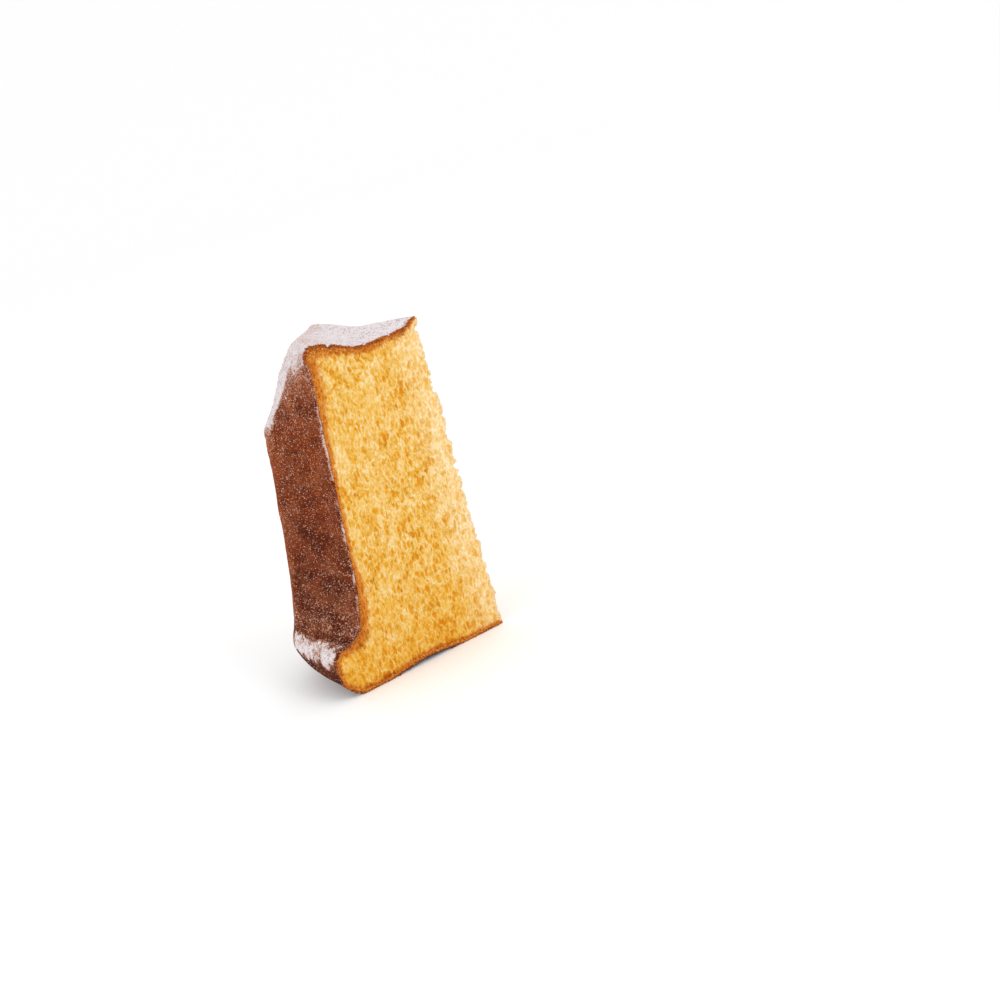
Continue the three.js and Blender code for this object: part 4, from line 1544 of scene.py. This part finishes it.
# %% Icing sugar
SUGAR_STOPS = (
    (0.15, colour(184, 166, 163)),
    (0.45, colour(214, 203, 204)),
    (0.75, colour(229, 222, 225)),
)
SPECK = colour(172, 148, 144)
THIN_SUGAR = colour(176, 136, 120)
GRAIN_STOPS = ((0.35, colour(206, 170, 152)), (0.65, colour(230, 214, 208)))


def sugar_material():
    m = Recipe("icing_sugar")
    grain = m.noise(0.7, 3, 0.75)
    base = m.ramp(m.total(-0.5, (grain, 1.7), (m.noise(4, 2), 0.4)), *SUGAR_STOPS)
    base = m.mix(m.calc("MULTIPLY", m.specks(1.1, 0.55), 0.65), base, SPECK)
    thin = m.total(0.0, (m.attribute("height"), 1.0), (grain, 0.12))
    base = m.mix(m.spread(thin, 0.03, 0.19, 0.8, 0), base, THIN_SUGAR)
    m.set(Roughness=1.0, Specular_IOR_Level=0.2, Subsurface_Weight=0.1, Subsurface_Scale=0.0006)
    return m.finish(base, m.bump(grain, 0.22))


def grain_material():
    m = Recipe("sugar_grain")
    m.set(Roughness=0.8, Specular_IOR_Level=0.2)
    return m.finish(m.ramp(m.noise(1.5, 1), *GRAIN_STOPS))


# %% Which piece is what
DRESS = [
    (crumb, "crumb", crumb_material()),
    (crumbs, "crumb", loose_crumb_material()),
    (crust, "crust", crust_material()),
    (icing_sugar, "icing_sugar", sugar_material()),
    (sugar_grains, "icing_sugar", grain_material()),
]
for piece, slot, material in DRESS:
    piece.data.materials.append(material)
    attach(piece, "root")
    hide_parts(CAKE)
print("pieces:", [piece.name for piece, _, _ in DRESS])

# %% [markdown]
# ## Floor and light
# A pale floor under a broad white sky, with one large soft lamp from the upper right and a weaker
# one from the left. Soft light keeps the pores readable without black holes in them.

# %% Floor and lamps
FLOOR_FLAT = 1500.0  # radius of the level floor, mm
FLOOR_RADIUS = 4000.0
FLOOR_RISE, FLOOR_RISE_END = 2600.0, 6000.0  # the rise would end outside the dish
FLOOR_RINGS, FLOOR_TURNS = 40, 97
KEY_LIGHT = ((0.75, -0.7, 0.95), 0.7, 3.4)  # place and width in metres, and watts
FILL_LIGHT = ((-0.9, -0.3, 0.5), 0.8, 1.5)
SKY = 1.0


def make_floor():
    """A wide dish: level round the slice and rising far away by a smooth step, so that no edge of
    it is seen from any side."""
    radii = np.concatenate([[0.0], np.linspace(FLOOR_FLAT, FLOOR_RADIUS, FLOOR_RINGS)])
    turns = np.linspace(2 * math.pi, 0, FLOOR_TURNS)
    radius, turn = np.meshgrid(radii, turns, indexing="ij")
    height = FLOOR_RISE * smooth(FLOOR_FLAT, FLOOR_RISE_END, radius)
    dish = np.stack([radius * np.cos(turn), radius * np.sin(turn), height], axis=-1)
    floor = closed_piece("floor", [(dish, {})])
    recipe = Recipe("floor")
    recipe.set(Roughness=1.0, Specular_IOR_Level=0.0)
    floor.data.materials.append(recipe.finish(colour(252, 252, 252)))


def make_lamp(name, place, size, power):
    data = bpy.data.lights.new(name, "AREA")
    data.shape = "DISK"
    data.size = size
    data.energy = power
    lamp = bpy.data.objects.new(name, data)
    bpy.context.scene.collection.objects.link(lamp)
    middle = (cad_low + cad_high) / 2
    lamp.location = place
    lamp.rotation_euler = (middle - lamp.location).to_track_quat("-Z", "Y").to_euler()


def make_sky():
    world = bpy.data.worlds.new("sky")
    world.use_nodes = True
    background = world.node_tree.nodes["Background"]
    background.inputs["Color"].default_value = (1.0, 1.0, 1.0, 1.0)
    background.inputs["Strength"].default_value = SKY
    bpy.context.scene.world = world
    bpy.context.scene.view_settings.view_transform = "Standard"


make_floor()
make_lamp("key", *KEY_LIGHT)
make_lamp("fill", *FILL_LIGHT)
make_sky()
